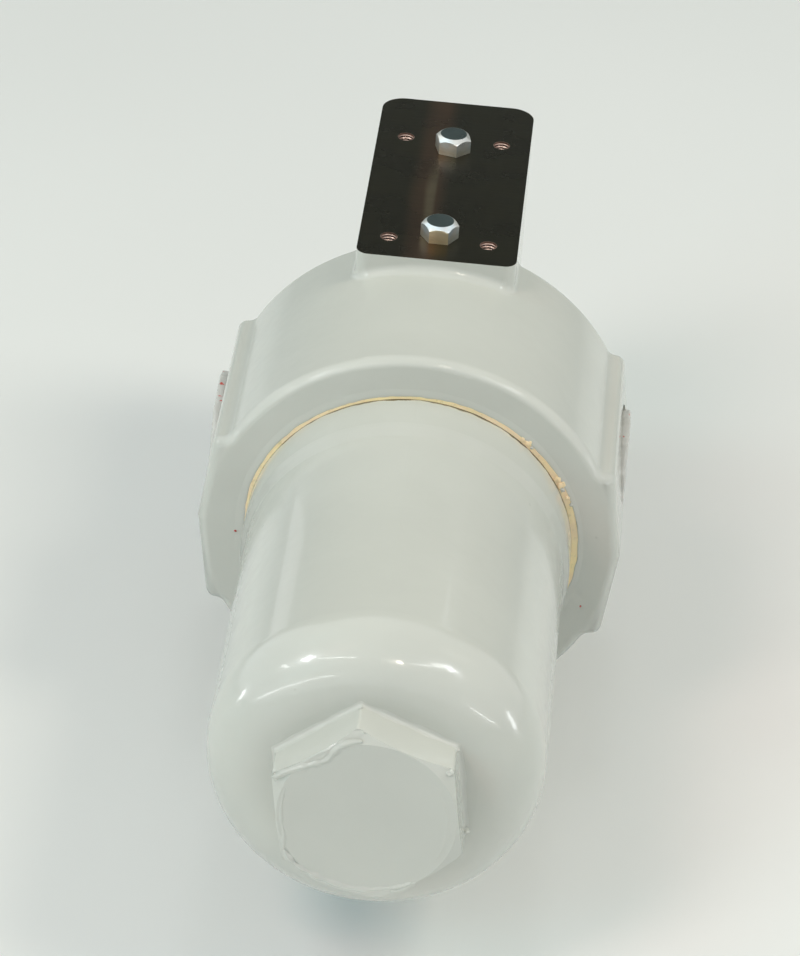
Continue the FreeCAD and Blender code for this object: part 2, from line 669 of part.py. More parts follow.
def build_bypass_valve():
    """The bypass valve in the rear block: seat, poppet, spring and the screw plug behind them."""
    bore = "valve_bore_diameter / 2 - seal_clearance"
    seat = new_body("bypass_seat")
    lathe(seat, "seat", [
        (VALVE, "valve_inlet_diameter / 2"), (VALVE, bore), (SEAT_FACE, bore),
        (SEAT_FACE, "valve_inlet_diameter / 2")], up="valve_height")

    poppet = new_body("bypass_poppet")
    stem = "stem_diameter / 2"
    stem_end = f"{NOSE} + stem_reach"
    lathe(poppet, "poppet", [
        (SEAT_FACE, "0"), (SEAT_FACE, "poppet_diameter / 2"), (POPPET_BACK, "poppet_diameter / 2"),
        (POPPET_BACK, stem), (stem_end, stem), (stem_end, "0")], up="valve_height")
    soften(poppet, "poppet_edges", "Chamfer", "stem_diameter / 8",
           lambda edge: is_valve_ring(edge, stem, stem_end))

    plug = new_body("bypass_plug")
    thread = f"{REAR} - plug_thread_length"
    guide = f"{stem} + stem_clearance"
    washer = f"{REAR} + plug_washer_wall"
    lathe(plug, "plug_body", [
        (NOSE, guide), (NOSE, "nose_diameter / 2"), (thread, "nose_diameter / 2"), (thread, bore),
        (washer, bore), (washer, "0"), (thread, "0"), (thread, guide)], up="valve_height")
    head = new_sketch(plug, "plug_hexagon", "XZ_Plane", up="valve_height", forward=f"-({washer})")
    add_polygon(head, hexagon("plug_hex_size"))
    extrude(plug, "plug_head", head, "plug_hex_length", backwards=True)
    turned_chamfer(plug, "plug_head_chamfer", "plug_hex_size", "hex_chamfer / 2",
                   f"{washer} + plug_hex_length", "-1", up="valve_height")

    sealing = new_body("bypass_plug_washer")
    lathe(sealing, "washer", [
        (REAR, "valve_bore_diameter / 2"), (REAR, "plug_washer_diameter / 2"),
        (washer, "plug_washer_diameter / 2"), (washer, "valve_bore_diameter / 2")], up="valve_height")

    build_spring()


def is_valve_ring(edge, radius, along):
    """Whether an edge is a circle about the valve's axis, of this radius and place."""
    curve = edge.Curve
    return (isinstance(curve, Part.Circle) and near(curve.Radius, value(radius))
            and near(curve.Center.y, value(along)) and near(curve.Center.z, value("valve_height")))


def build_spring():
    """The bypass spring: a coil about the poppet's stem, between the poppet and the plug's nose."""
    wire = value("spring_wire / 2")
    mean = value("spring_mean_diameter / 2")
    clearance = value("element_clearance")
    start = value(POPPET_BACK) + wire + clearance
    reach = value(NOSE) - wire - clearance - start
    coil = Part.makeHelix(reach / value("spring_turns"), reach, mean)
    section = Part.Wire(Part.makeCircle(wire, FreeCAD.Vector(mean, 0, 0), FreeCAD.Vector(0, 1, 0)))
    solid = Part.Wire(coil.Edges).makePipeShell([section], True, True)
    spring = document.addObject("Part::Feature", "bypass_spring")
    spring.Label = "bypass_spring"
    spring.Shape = solid
    spring.Placement = FreeCAD.Placement(
        FreeCAD.Vector(0, start - value(f"{HEAD_END} / 2"), value(f"{AXIS} + valve_height")),
        FreeCAD.Rotation(FreeCAD.Vector(1, 0, 0), -90))
    subparts.append(spring)


def build_gauge_plugs():
    """The two hexagon plugs of the pad's gauge holes."""
    for place, shift in (("inlet", "0"), ("outlet", "gauge_spacing")):
        along = f"{GAUGE} + {shift}"
        plug = new_body(place + "_gauge_plug")
        head = new_sketch(plug, place + "_plug_hexagon", "XY_Plane", up=along, forward=PAD)
        add_polygon(head, hexagon("gauge_plug_hex_size"))
        extrude(plug, place + "_plug_head", head, "gauge_plug_head")
        shank = new_sketch(plug, place + "_plug_shank_outline", "XY_Plane", up=along, forward=PAD)
        add_circle(shank, "0", "0", "gauge_hole_diameter / 2 - gauge_plug_clearance")
        extrude(plug, place + "_plug_shank", shank, "gauge_plug_shank", backwards=True)
        crown = new_sketch(plug, place + "_crown_outline", "YZ_Plane", across=along, up=PAD)
        flat = "gauge_plug_hex_size / 2 - gauge_plug_chamfer"
        low = "gauge_plug_head - 2 * gauge_plug_chamfer"
        slanted = f"{flat} + 3 * gauge_plug_chamfer"
        add_polygon(crown, [
            (flat, "gauge_plug_head"), (slanted, low), ("gauge_plug_hex_size", low),
            ("gauge_plug_hex_size", "gauge_plug_head + 1"), (flat, "gauge_plug_head + 1")])
        feature = plug.newObject("PartDesign::Groove", place + "_crown")
        feature.Profile = crown
        feature.ReferenceAxis = (crown, ["V_Axis"])
        feature.Angle = 360
        finish(feature)


def build_port_plugs():
    """The flanged plastic plugs that close the two ports, each with a hexagon socket."""
    rim = f"({PORT_FACE} + port_plug_flange)"
    for place, sign, leftwards in (("inlet", "-", True), ("outlet", "", False)):
        plug = new_body(place + "_port_plug")
        flange = new_sketch(plug, place + "_flange_outline", "YZ_Plane", forward=sign + PORT_FACE)
        add_circle(flange, PORT, "0", "spot_face_diameter / 2 - port_plug_rim_gap")
        extrude(plug, place + "_flange", flange, "port_plug_flange", backwards=leftwards)
        soften(plug, place + "_flange_edge", "Fillet", "port_plug_flange / 4",
               lambda edge: near(edge.BoundBox.XLength, 0) and near(abs(edge.BoundBox.XMin), value(rim)))
        spigot = new_sketch(plug, place + "_spigot_outline", "YZ_Plane", forward=sign + PORT_FACE)
        add_circle(spigot, PORT, "0", "port_bore_diameter / 2 - port_plug_clearance")
        extrude(plug, place + "_spigot", spigot, "port_plug_length", backwards=not leftwards)
        socket = new_sketch(plug, place + "_socket_outline", "YZ_Plane", across=PORT, forward=sign + rim)
        add_polygon(socket, hexagon("port_plug_socket"))
        extrude(plug, place + "_socket", socket, "port_plug_flange + port_plug_length - port_plug_floor",
                cut=True, backwards=leftwards)


def write_parts():
    """Stop if any object of the document failed, then write each sub-part to its own file."""
    document.recompute()
    for part in document.Objects:
        if "Invalid" in part.State or "Error" in part.State:
            raise RuntimeError(part.Label + " is in error")
    for part in subparts:
        if part.Shape.isNull() or not part.Shape.isValid() or len(part.Shape.Solids) != 1:
            raise RuntimeError(part.Label + " is not one valid solid")
    os.makedirs("parts", exist_ok=True)
    for part in subparts:
        part.Shape.exportStep("parts/%s.step" % part.Label)


build_head()
build_bowl()
build_bowl_seals()
build_spigot()
build_element()
build_bypass_valve()
build_gauge_plugs()
build_port_plugs()
write_parts()
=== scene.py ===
"""Looks of the high pressure filter: grey gloss paint over a casting and a forged bowl, a bare milled
pad and plated plugs that carry painted reflections, a cream backup ring with paint crumbs, and the oily steel
inside.

Everything is in metres in the part's frame: the bowl's axis runs along Y at AXIS_HEIGHT, the bowl
points to -Y, and the head's mouth face is at MOUTH.
"""

import bpy
import numpy as np
from mathutils import Matrix, Vector


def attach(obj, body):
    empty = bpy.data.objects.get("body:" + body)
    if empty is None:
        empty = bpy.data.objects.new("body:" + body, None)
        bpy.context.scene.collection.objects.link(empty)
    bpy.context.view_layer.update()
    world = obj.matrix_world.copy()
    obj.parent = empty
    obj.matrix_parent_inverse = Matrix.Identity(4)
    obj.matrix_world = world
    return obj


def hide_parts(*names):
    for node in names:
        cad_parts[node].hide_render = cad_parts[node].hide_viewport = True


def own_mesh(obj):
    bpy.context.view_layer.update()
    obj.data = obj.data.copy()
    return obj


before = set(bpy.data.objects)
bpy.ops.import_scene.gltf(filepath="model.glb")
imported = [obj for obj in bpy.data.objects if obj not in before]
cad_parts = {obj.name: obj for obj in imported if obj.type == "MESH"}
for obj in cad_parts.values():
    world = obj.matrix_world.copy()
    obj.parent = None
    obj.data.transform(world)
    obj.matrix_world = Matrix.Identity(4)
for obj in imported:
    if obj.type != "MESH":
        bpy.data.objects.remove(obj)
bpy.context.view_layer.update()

AXIS_HEIGHT = 0.055
MOUTH = -0.030
PAD_HEIGHT = 0.110
BOWL_END = -0.135
BOWL_FLAT = 0.024               # radius of the bowl's flat end, inside its rounded corner
BOWL_CORNER = 0.015
HEXAGON_FACE = -0.1457
HEXAGON_HALF = 0.0205           # half of its width across flats
HEXAGON_CORNER = 98.3           # degrees from +X towards +Z, for the corner near the top
PORT_ALONG = 0.008
PLUG_FACE = 0.0519              # outer face of a port plug's flange, from the middle plane
PLUG_RADIUS = 0.017
PAD_MIDDLE = 0.0497             # middle of the pad's four screw holes along Y
SCREW_ACROSS = 0.0125           # from that middle to a screw hole, along X and along Y
SCREW_ALONG = 0.027
THREAD_PITCH = 0.002            # of the bowl's thread
THREAD_DEPTH = 0.0008

PAINT = (0.585, 0.592, 0.552, 1)
BARE_STEEL = (0.30, 0.29, 0.27, 1)
GLOSS = 0.6                     # weight of the clear coat on the paint
COAT_ROUGHNESS = 0.035
# The pad's milled steel, its colour made very dark as a painted reflection of dark surroundings
MILLED_PAD_PAINTED_REFLECTION = (0.029, 0.026, 0.013, 1)
CREAM = (0.98, 0.80, 0.46, 1)


# Shader groups

def new_group(name, inputs, outputs):
    """A shader node group with named sockets, each given as name: (kind, default)."""
    group = bpy.data.node_groups.new(name, "ShaderNodeTree")
    for label, (kind, default) in inputs.items():
        socket = group.interface.new_socket(label, in_out="INPUT", socket_type="NodeSocket" + kind)
        if default is not None:
            socket.default_value = default
    for label, kind in outputs.items():
        group.interface.new_socket(label, in_out="OUTPUT", socket_type="NodeSocket" + kind)
    return group, group.nodes.new("NodeGroupInput"), group.nodes.new("NodeGroupOutput")


def put(tree, kind, settings=None, **inputs):
    """A node of a tree: settings are its own properties, inputs its sockets, by name or as in_NUMBER."""
    made = tree.nodes.new("ShaderNode" + kind)
    for name, setting in (settings or {}).items():
        setattr(made, name, setting)
    for name, given in inputs.items():
        socket = made.inputs[int(name[3:])] if name.startswith("in_") else made.inputs[name.replace("_", " ")]
        if isinstance(given, bpy.types.NodeSocket):
            tree.links.new(given, socket)
        else:
            socket.default_value = given
    return made


def calculate(tree, operation, *values, clamp=False):
    """One Math node's result."""
    inputs = {"in_%d" % index: each for index, each in enumerate(values)}
    return put(tree, "Math", {"operation": operation, "use_clamp": clamp}, **inputs).outputs[0]


def blend_colours(tree, share, first, second):
    """Two colours mixed by a share from 0 to 1."""
    return put(tree, "Mix", {"data_type": "RGBA"}, in_0=share, in_6=first, in_7=second).outputs[2]


def between(tree, given, low, high, start=0.0, end=1.0):
    """A value carried from one range to another, smoothly and without passing its ends."""
    made = put(tree, "MapRange", {"interpolation_type": "SMOOTHSTEP"}, in_0=given, in_1=low, in_2=high,
               in_3=start, in_4=end)
    return made.outputs[0]


def noise(tree, place, size, detail=3.0, roughness=0.5):
    """Noise whose lumps are about size metres apart."""
    made = put(tree, "TexNoise", None, Vector=place, Scale=1 / size, Detail=detail, Roughness=roughness)
    return made.outputs[0]


def make_paint_film():
    """Sprayed gloss paint: orange peel 2.6 mm apart on slow waves of the casting, with faint clouds
    of colour and raised specks of dust."""
    group, given, result = new_group(
        "paint_film",
        {"Place": ("Vector", None), "Colour": ("Color", PAINT), "Waviness": ("Float", 1.0),
         "Leaning": ("Vector", None)},
        {"Colour": "Color", "Roughness": "Float", "Normal": "Vector"})
    place = given.outputs["Place"]
    peel = noise(group, place, 0.0026, 2.0)
    waves = noise(group, place, 0.016, 2.0)
    clouds = noise(group, place, 0.045, 3.0)
    specks = put(group, "TexVoronoi", None, Vector=place, Scale=160.0)
    speck = between(group, specks.outputs["Distance"], 0.0, 0.09, 1.0, 0.0)
    chosen = between(group, noise(group, place, 0.011, 1.0), 0.60, 0.66)
    speck = calculate(group, "MULTIPLY", speck, chosen)
    height = calculate(group, "MULTIPLY", peel, 0.000035)
    height = calculate(group, "MULTIPLY_ADD", waves, 0.00022, height)
    height = calculate(group, "MULTIPLY_ADD", speck, 0.00006, height)
    height = calculate(group, "MULTIPLY", height, given.outputs["Waviness"])
    bump = put(group, "Bump", None, Strength=1.0, Distance=1.0, Height=height,
               Normal=given.outputs["Leaning"])
    tone = between(group, clouds, 0.3, 0.7, 0.965, 1.03)
    colour = put(group, "HueSaturation", None, Value=tone, Color=given.outputs["Colour"])
    dusty = blend_colours(group, calculate(group, "MULTIPLY", speck, 0.35), colour.outputs[0],
                          (0.42, 0.42, 0.38, 1))
    group.links.new(dusty, result.inputs["Colour"])
    group.links.new(between(group, peel, 0.25, 0.75, 0.16, 0.24), result.inputs["Roughness"])
    group.links.new(bump.outputs[0], result.inputs["Normal"])
    return group


def make_screw_thread():
    """Height of a right-hand thread on a cylinder along Y: a rounded V wave of one pitch a turn."""
    group, given, result = new_group(
        "screw_thread",
        {"Place": ("Vector", None), "Pitch": ("Float", THREAD_PITCH), "Depth": ("Float", THREAD_DEPTH)},
        {"Height": "Float"})
    parts = put(group, "SeparateXYZ", None, Vector=given.outputs["Place"])
    up = calculate(group, "SUBTRACT", parts.outputs[2], AXIS_HEIGHT)
    turn = calculate(group, "DIVIDE", calculate(group, "ARCTAN2", up, parts.outputs[0]), 2 * np.pi)
    along = calculate(group, "DIVIDE", parts.outputs[1], given.outputs["Pitch"])
    wave = calculate(group, "PINGPONG", calculate(group, "ADD", along, turn), 0.5)
    height = calculate(group, "MULTIPLY", between(group, wave, 0.06, 0.44), given.outputs["Depth"])
    group.links.new(height, result.inputs["Height"])
    return group


def make_turned_metal():
    """Turned or milled metal: fine grooves, drawn out across the grain's largest axis, and faint stains."""
    group, given, result = new_group(
        "turned_metal",
        {"Place": ("Vector", None), "Grain": ("Vector", (1.0, 30.0, 1.0)), "Colour": ("Color", BARE_STEEL),
         "Shine": ("Float", 0.28), "Extra height": ("Float", 0.0)},
        {"Colour": "Color", "Roughness": "Float", "Normal": "Vector"})
    stretched = put(group, "VectorMath", {"operation": "MULTIPLY"}, in_0=given.outputs["Place"],
                    in_1=given.outputs["Grain"]).outputs[0]
    grooves = noise(group, stretched, 0.012, 4.0, 0.6)
    stains = noise(group, given.outputs["Place"], 0.014, 4.0, 0.6)
    height = calculate(group, "MULTIPLY_ADD", grooves, 0.000012, given.outputs["Extra height"])
    bump = put(group, "Bump", None, Strength=1.0, Distance=1.0, Height=height)
    tone = calculate(group, "MULTIPLY", between(group, stains, 0.3, 0.75, 0.82, 1.08),
                     between(group, grooves, 0.2, 0.8, 0.92, 1.06))
    colour = put(group, "HueSaturation", None, Value=tone, Color=given.outputs["Colour"])
    rough = calculate(group, "MULTIPLY", given.outputs["Shine"], between(group, stains, 0.2, 0.8, 0.8, 1.4))
    group.links.new(colour.outputs[0], result.inputs["Colour"])
    group.links.new(rough, result.inputs["Roughness"])
    group.links.new(bump.outputs[0], result.inputs["Normal"])
    return group


PAINT_FILM = make_paint_film()
SCREW_THREAD = make_screw_thread()
TURNED_METAL = make_turned_metal()


def use(tree, group, **inputs):
    """A group placed in a material, with its sockets set by name."""
    made = tree.nodes.new("ShaderNodeGroup")
    made.node_tree = group
    for name, given in inputs.items():
        socket = made.inputs[name.replace("_", " ")]
        if isinstance(given, bpy.types.NodeSocket):
            tree.links.new(given, socket)
        else:
            socket.default_value = given
    return made


def new_material(name):
    """An empty material with its shader, and the object coordinates that its patterns read."""
    material = bpy.data.materials.new(name)
    material.use_nodes = True
    tree = material.node_tree
    shader = tree.nodes["Principled BSDF"]
    place = tree.nodes.new("ShaderNodeTexCoord").outputs["Object"]
    return material, tree, shader, place


def connect(tree, shader, source):
    """The colour, roughness and normal of a group led to a shader."""
    for label, socket in (("Colour", "Base Color"), ("Roughness", "Roughness"), ("Normal", "Normal")):
        tree.links.new(source.outputs[label], shader.inputs[socket])


def within(tree, given, low, high, soft=0.00005):
    """1 where a value lies between two others, and 0 elsewhere."""
    above = between(tree, given, low - soft, low + soft)
    below = between(tree, given, high - soft, high + soft, 1.0, 0.0)
    return calculate(tree, "MULTIPLY", above, below)


def distance_from_line(tree, parts, across, centre):
    """How far a point is from a level line at the height of the bowl's axis. The line is at centre on
    the coordinate numbered across, 0 for X and 1 for Y."""
    first = calculate(tree, "SUBTRACT", parts.outputs[across], centre)
    second = calculate(tree, "SUBTRACT", parts.outputs[2], AXIS_HEIGHT)
    squares = calculate(tree, "ADD", calculate(tree, "MULTIPLY", first, first),
                        calculate(tree, "MULTIPLY", second, second))
    return calculate(tree, "SQRT", squares)


def paint_and_metal(tree, shader, place, bare, metal, leaning):
    """Paint where bare is 0, and a metal group's finish where it is 1. The paint lies on a normal
    that leans where the film rounds an edge off."""
    film = use(tree, PAINT_FILM, Place=place, Leaning=leaning)
    colour = blend_colours(tree, bare, film.outputs["Colour"], metal.outputs["Colour"])
    rough = put(tree, "Mix", None, in_0=bare, in_2=film.outputs["Roughness"], in_3=metal.outputs["Roughness"])
    normal = put(tree, "Mix", {"data_type": "VECTOR"}, in_0=bare, in_4=film.outputs["Normal"],
                 in_5=metal.outputs["Normal"])
    tree.links.new(colour, shader.inputs["Base Color"])
    tree.links.new(rough.outputs[0], shader.inputs["Roughness"])
    tree.links.new(normal.outputs[1], shader.inputs["Normal"])
    tree.links.new(bare, shader.inputs["Metallic"])
    tree.links.new(between(tree, bare, 0.0, 1.0, GLOSS, 0.0), shader.inputs["Coat Weight"])
    shader.inputs["Coat Roughness"].default_value = COAT_ROUGHNESS


def make_head_finish():
    """Casting: paint outside, bare metal on the pad, the foot's face, in the mouth and in the bores."""
    material, tree, shader, place = new_material("head_finish")
    parts = put(tree, "SeparateXYZ", None, Vector=place)
    side, along, height = parts.outputs
    off_axis = distance_from_line(tree, parts, 0, 0.0)
    pad = between(tree, height, PAD_HEIGHT - 0.00012, PAD_HEIGHT - 0.00004)
    foot = between(tree, height, 0.00002, 0.0001, 1.0, 0.0)
    ragged = calculate(tree, "MULTIPLY_ADD", noise(tree, place, 0.003, 3.0), 0.0016, off_axis)
    mouth = calculate(tree, "MULTIPLY", between(tree, ragged, 0.0428, 0.0430, 1.0, 0.0),
                      between(tree, along, 0.0203, 0.0206, 1.0, 0.0))
    port_distance = distance_from_line(tree, parts, 1, PORT_ALONG)
    port = calculate(tree, "MULTIPLY", between(tree, port_distance, 0.0121, 0.0124, 1.0, 0.0),
                     between(tree, calculate(tree, "ABSOLUTE", side), 0.030, 0.031))
    bare = pad
    for more in (foot, mouth, port):
        bare = calculate(tree, "MAXIMUM", bare, more)

    hole_across = calculate(tree, "SUBTRACT", calculate(tree, "ABSOLUTE", side), SCREW_ACROSS)
    from_middle = calculate(tree, "ABSOLUTE", calculate(tree, "SUBTRACT", along, PAD_MIDDLE))
    hole_along = calculate(tree, "SUBTRACT", from_middle, SCREW_ALONG)
    hole_distance = calculate(tree, "SQRT", calculate(
        tree, "ADD", calculate(tree, "MULTIPLY", hole_across, hole_across),
        calculate(tree, "MULTIPLY", hole_along, hole_along)))
    hole = calculate(tree, "MULTIPLY", between(tree, hole_distance, 0.00214, 0.00222, 1.0, 0.0),
                     between(tree, height, 0.090, 0.092))
    bare = calculate(tree, "MAXIMUM", bare, hole)

    head_thread = use(tree, SCREW_THREAD, Place=place, Pitch=THREAD_PITCH, Depth=THREAD_DEPTH)
    threaded = calculate(tree, "MULTIPLY", head_thread.outputs[0], calculate(
        tree, "MULTIPLY", mouth, within(tree, along, MOUTH + 0.0092, MOUTH + 0.0203, 0.0003)))
    tapped = calculate(tree, "MULTIPLY", calculate(
        tree, "PINGPONG", calculate(tree, "DIVIDE", height, 0.0008), 0.5), 0.0005)
    tapped = calculate(tree, "MULTIPLY", tapped, calculate(
        tree, "MULTIPLY", hole, between(tree, height, PAD_HEIGHT - 0.0008, PAD_HEIGHT - 0.0004, 1.0, 0.0)))
    extra = calculate(tree, "ADD", threaded, tapped)

    # Painted reflection on the pad: a brown streak along Y that drifts with noise, with a paler core between
    # 20 and 60 mm along
    streak_place = put(tree, "VectorMath", {"operation": "MULTIPLY"}, in_0=place,
                       in_1=(1.0, 0.12, 1.0)).outputs[0]
    drift = calculate(tree, "MULTIPLY_ADD", noise(tree, streak_place, 0.009, 2.0), 0.006, side)
    off_streak = calculate(tree, "ABSOLUTE", calculate(tree, "SUBTRACT", drift, -0.0016))
    painted_reflection_streak = between(tree, off_streak, 0.0006, 0.0060, 1.0, 0.0)
    core = calculate(tree, "MULTIPLY", between(tree, off_streak, 0.0002, 0.0016, 1.0, 0.0),
                     within(tree, along, 0.020, 0.060, 0.010))
    # The pad's colour with the painted reflection streak and its paler core laid over it
    pad_painted_reflection = blend_colours(tree, painted_reflection_streak, MILLED_PAD_PAINTED_REFLECTION, (0.085, 0.050, 0.028, 1))
    pad_painted_reflection = blend_colours(tree, core, pad_painted_reflection, (0.16, 0.125, 0.075, 1))
    pale = blend_colours(tree, hole, BARE_STEEL, (0.50, 0.36, 0.30, 1))
    colour = blend_colours(tree, calculate(tree, "SUBTRACT", pad, hole, clamp=True), pale, pad_painted_reflection)
    shine = between(tree, pad, 0.0, 1.0, 0.30, 0.27)
    metal = use(tree, TURNED_METAL, Place=place, Grain=(1.0, 14.0, 1.0), Colour=colour, Shine=shine,
                Extra_height=extra)
    paint_and_metal(tree, shader, place, bare, metal, face_to_rim(tree, parts, along))
    return material


def lean_outwards(tree, parts, share):
    """The face's own normal, turned by a share towards the direction straight out from the axis."""
    up = calculate(tree, "SUBTRACT", parts.outputs[2], AXIS_HEIGHT)
    out = put(tree, "VectorMath", {"operation": "NORMALIZE"},
              in_0=put(tree, "CombineXYZ", None, X=parts.outputs[0], Z=up).outputs[0]).outputs[0]
    own = tree.nodes.new("ShaderNodeNewGeometry").outputs["Normal"]
    mixed = put(tree, "Mix", {"data_type": "VECTOR"}, in_0=share, in_4=own, in_5=out).outputs[1]
    return put(tree, "VectorMath", {"operation": "NORMALIZE"}, in_0=mixed).outputs[0]


def face_to_rim(tree, parts, along):
    """Paint that rounds off the front face along a circle, over the cheeks' front corners too. It
    leans less than halfway out, because more shades those corners as dark kinks."""
    off_axis = distance_from_line(tree, parts, 0, 0.0)
    share = calculate(tree, "MULTIPLY", between(tree, off_axis, 0.0490, 0.0518, 0.0, 0.45),
                      between(tree, along, MOUTH + 0.0018, MOUTH + 0.0028, 1.0, 0.0))
    return lean_outwards(tree, parts, share)


def make_bowl_finish():
    """Forged bowl: paint up to the head's mouth, then turned metal with its thread, and bare inside."""
    material, tree, shader, place = new_material("bowl_finish")
    parts = put(tree, "SeparateXYZ", None, Vector=place)
    along = parts.outputs[1]
    off_axis = distance_from_line(tree, parts, 0, 0.0)
    ragged = calculate(tree, "MULTIPLY_ADD", noise(tree, place, 0.0045, 3.0), 0.0022, along)
    neck = between(tree, ragged, MOUTH + 0.0002, MOUTH + 0.0005)
    inside = calculate(tree, "MULTIPLY", between(tree, off_axis, 0.0334, 0.0338, 1.0, 0.0),
                       between(tree, along, -0.1222, -0.1218))
    bare = calculate(tree, "MAXIMUM", neck, inside)
    thread = use(tree, SCREW_THREAD, Place=place, Pitch=THREAD_PITCH, Depth=THREAD_DEPTH)
    on_thread = calculate(tree, "MULTIPLY", thread.outputs[0], calculate(
        tree, "MULTIPLY", within(tree, along, MOUTH + 0.0095, MOUTH + 0.0185, 0.0004),
        between(tree, off_axis, 0.0370, 0.0375)))
    metal = use(tree, TURNED_METAL, Place=place, Grain=(1.0, 26.0, 1.0), Colour=BARE_STEEL, Shine=0.27,
                Extra_height=on_thread)
    on_slope = calculate(tree, "MULTIPLY", within(tree, along, MOUTH - 0.0150, MOUTH - 0.0110, 0.0006),
                         between(tree, off_axis, 0.0385, 0.0388))
    leaning = lean_outwards(tree, parts, calculate(tree, "MULTIPLY", on_slope, 0.82))
    paint_and_metal(tree, shader, place, bare, metal, leaning)
    return material


def make_painted_steel():
    """Paint alone, on small steel pieces that were sprayed with the head."""
    material, tree, shader, place = new_material("painted_steel")
    own = tree.nodes.new("ShaderNodeNewGeometry").outputs["Normal"]
    connect(tree, shader, use(tree, PAINT_FILM, Place=place, Waviness=0.7, Leaning=own))
    shader.inputs["Coat Weight"].default_value = GLOSS
    shader.inputs["Coat Roughness"].default_value = COAT_ROUGHNESS
    return material


def make_metal(name, colour, shine, grain):
    """Turned or sheet metal of one colour, with grooves across the axis that grain stretches."""
    material, tree, shader, place = new_material(name)
    connect(tree, shader, use(tree, TURNED_METAL, Place=place, Grain=grain, Colour=colour, Shine=shine))
    shader.inputs["Metallic"].default_value = 1.0
    return material


def make_plug_plating():
    """Chromated zinc: bluish white and grey on the flats, olive towards the bottom, with painted reflections:
    the flat crown painted blue black, and the facets that face -Y painted tan, most on the plug nearer the
    front.
    """
    material, tree, shader, place = new_material("plug_plating")
    parts = put(tree, "SeparateXYZ", None, Vector=place)
    # The flat crown is painted blue black: a painted reflection
    crown = between(tree, parts.outputs[2], PAD_HEIGHT + 0.00452, PAD_HEIGHT + 0.00458)
    facing = put(tree, "SeparateXYZ", None,
                 Vector=tree.nodes.new("ShaderNodeNewGeometry").outputs["True Normal"])
    # Facets that face -Y are painted tan as a painted reflection, more on the plug nearer the front
    front = between(tree, facing.outputs[1], -0.99, -0.9, 1.0, 0.0)
    flats = blend_colours(tree, between(tree, noise(tree, place, 0.004, 3.0), 0.35, 0.6),
                          (0.74, 0.84, 0.88, 1), (0.80, 0.80, 0.76, 1))
    low = between(tree, parts.outputs[2], PAD_HEIGHT + 0.0008, PAD_HEIGHT + 0.0030, 1.0, 0.0)
    flats = blend_colours(tree, calculate(tree, "MULTIPLY", low, 0.6), flats, (0.50, 0.44, 0.30, 1))
    near_front = between(tree, parts.outputs[1], 0.030, 0.040, 1.0, 0.0)
    painted_tan_reflection = calculate(tree, "MULTIPLY", front, between(tree, near_front, 0.0, 1.0, 0.25, 0.8))
    colour = blend_colours(tree, painted_tan_reflection, flats, (0.84, 0.66, 0.38, 1))
    # The painted dark reflection of the crown over the rest
    colour = blend_colours(tree, crown, colour, (0.075, 0.105, 0.105, 1))
    metal = use(tree, TURNED_METAL, Place=place, Grain=(6.0, 6.0, 20.0), Colour=colour, Shine=0.30)
    connect(tree, shader, metal)
    shader.inputs["Metallic"].default_value = 0.8
    return material


def make_rubber():
    """Black nitrile rubber with a slightly oily, fine grained skin."""
    material, tree, shader, place = new_material("seal_rubber")
    grain = noise(tree, place, 0.0007, 3.0)
    bump = put(tree, "Bump", None, Strength=0.5, Distance=0.0001, Height=grain)
    colour = blend_colours(tree, grain, (0.012, 0.012, 0.013, 1), (0.035, 0.035, 0.034, 1))
    tree.links.new(colour, shader.inputs["Base Color"])
    tree.links.new(between(tree, grain, 0.2, 0.8, 0.35, 0.55), shader.inputs["Roughness"])
    tree.links.new(bump.outputs[0], shader.inputs["Normal"])
    return material


def make_cream_plastic():
    """Cream backup ring: pinkish and yellowish patches, with crumbs and smears of paint on its rim."""
    material, tree, shader, place = new_material("cream_plastic")
    patches = noise(tree, place, 0.009, 3.0)
    crumbs = noise(tree, place, 0.0016, 4.0, 0.65)
    colour = blend_colours(tree, between(tree, patches, 0.35, 0.65), CREAM, (0.97, 0.77, 0.52, 1))
    grime = between(tree, crumbs, 0.58, 0.68)
    colour = blend_colours(tree, calculate(tree, "MULTIPLY", grime, 0.35), colour, (0.50, 0.46, 0.24, 1))
    bump = put(tree, "Bump", None, Strength=0.8, Distance=0.0002, Height=crumbs)
    tree.links.new(colour, shader.inputs["Base Color"])
    tree.links.new(between(tree, crumbs, 0.3, 0.7, 0.38, 0.62), shader.inputs["Roughness"])
    tree.links.new(bump.outputs[0], shader.inputs["Normal"])
    shader.inputs["Subsurface Weight"].default_value = 0.12
    shader.inputs["Subsurface Radius"].default_value = (0.001, 0.0006, 0.0003)
    return material


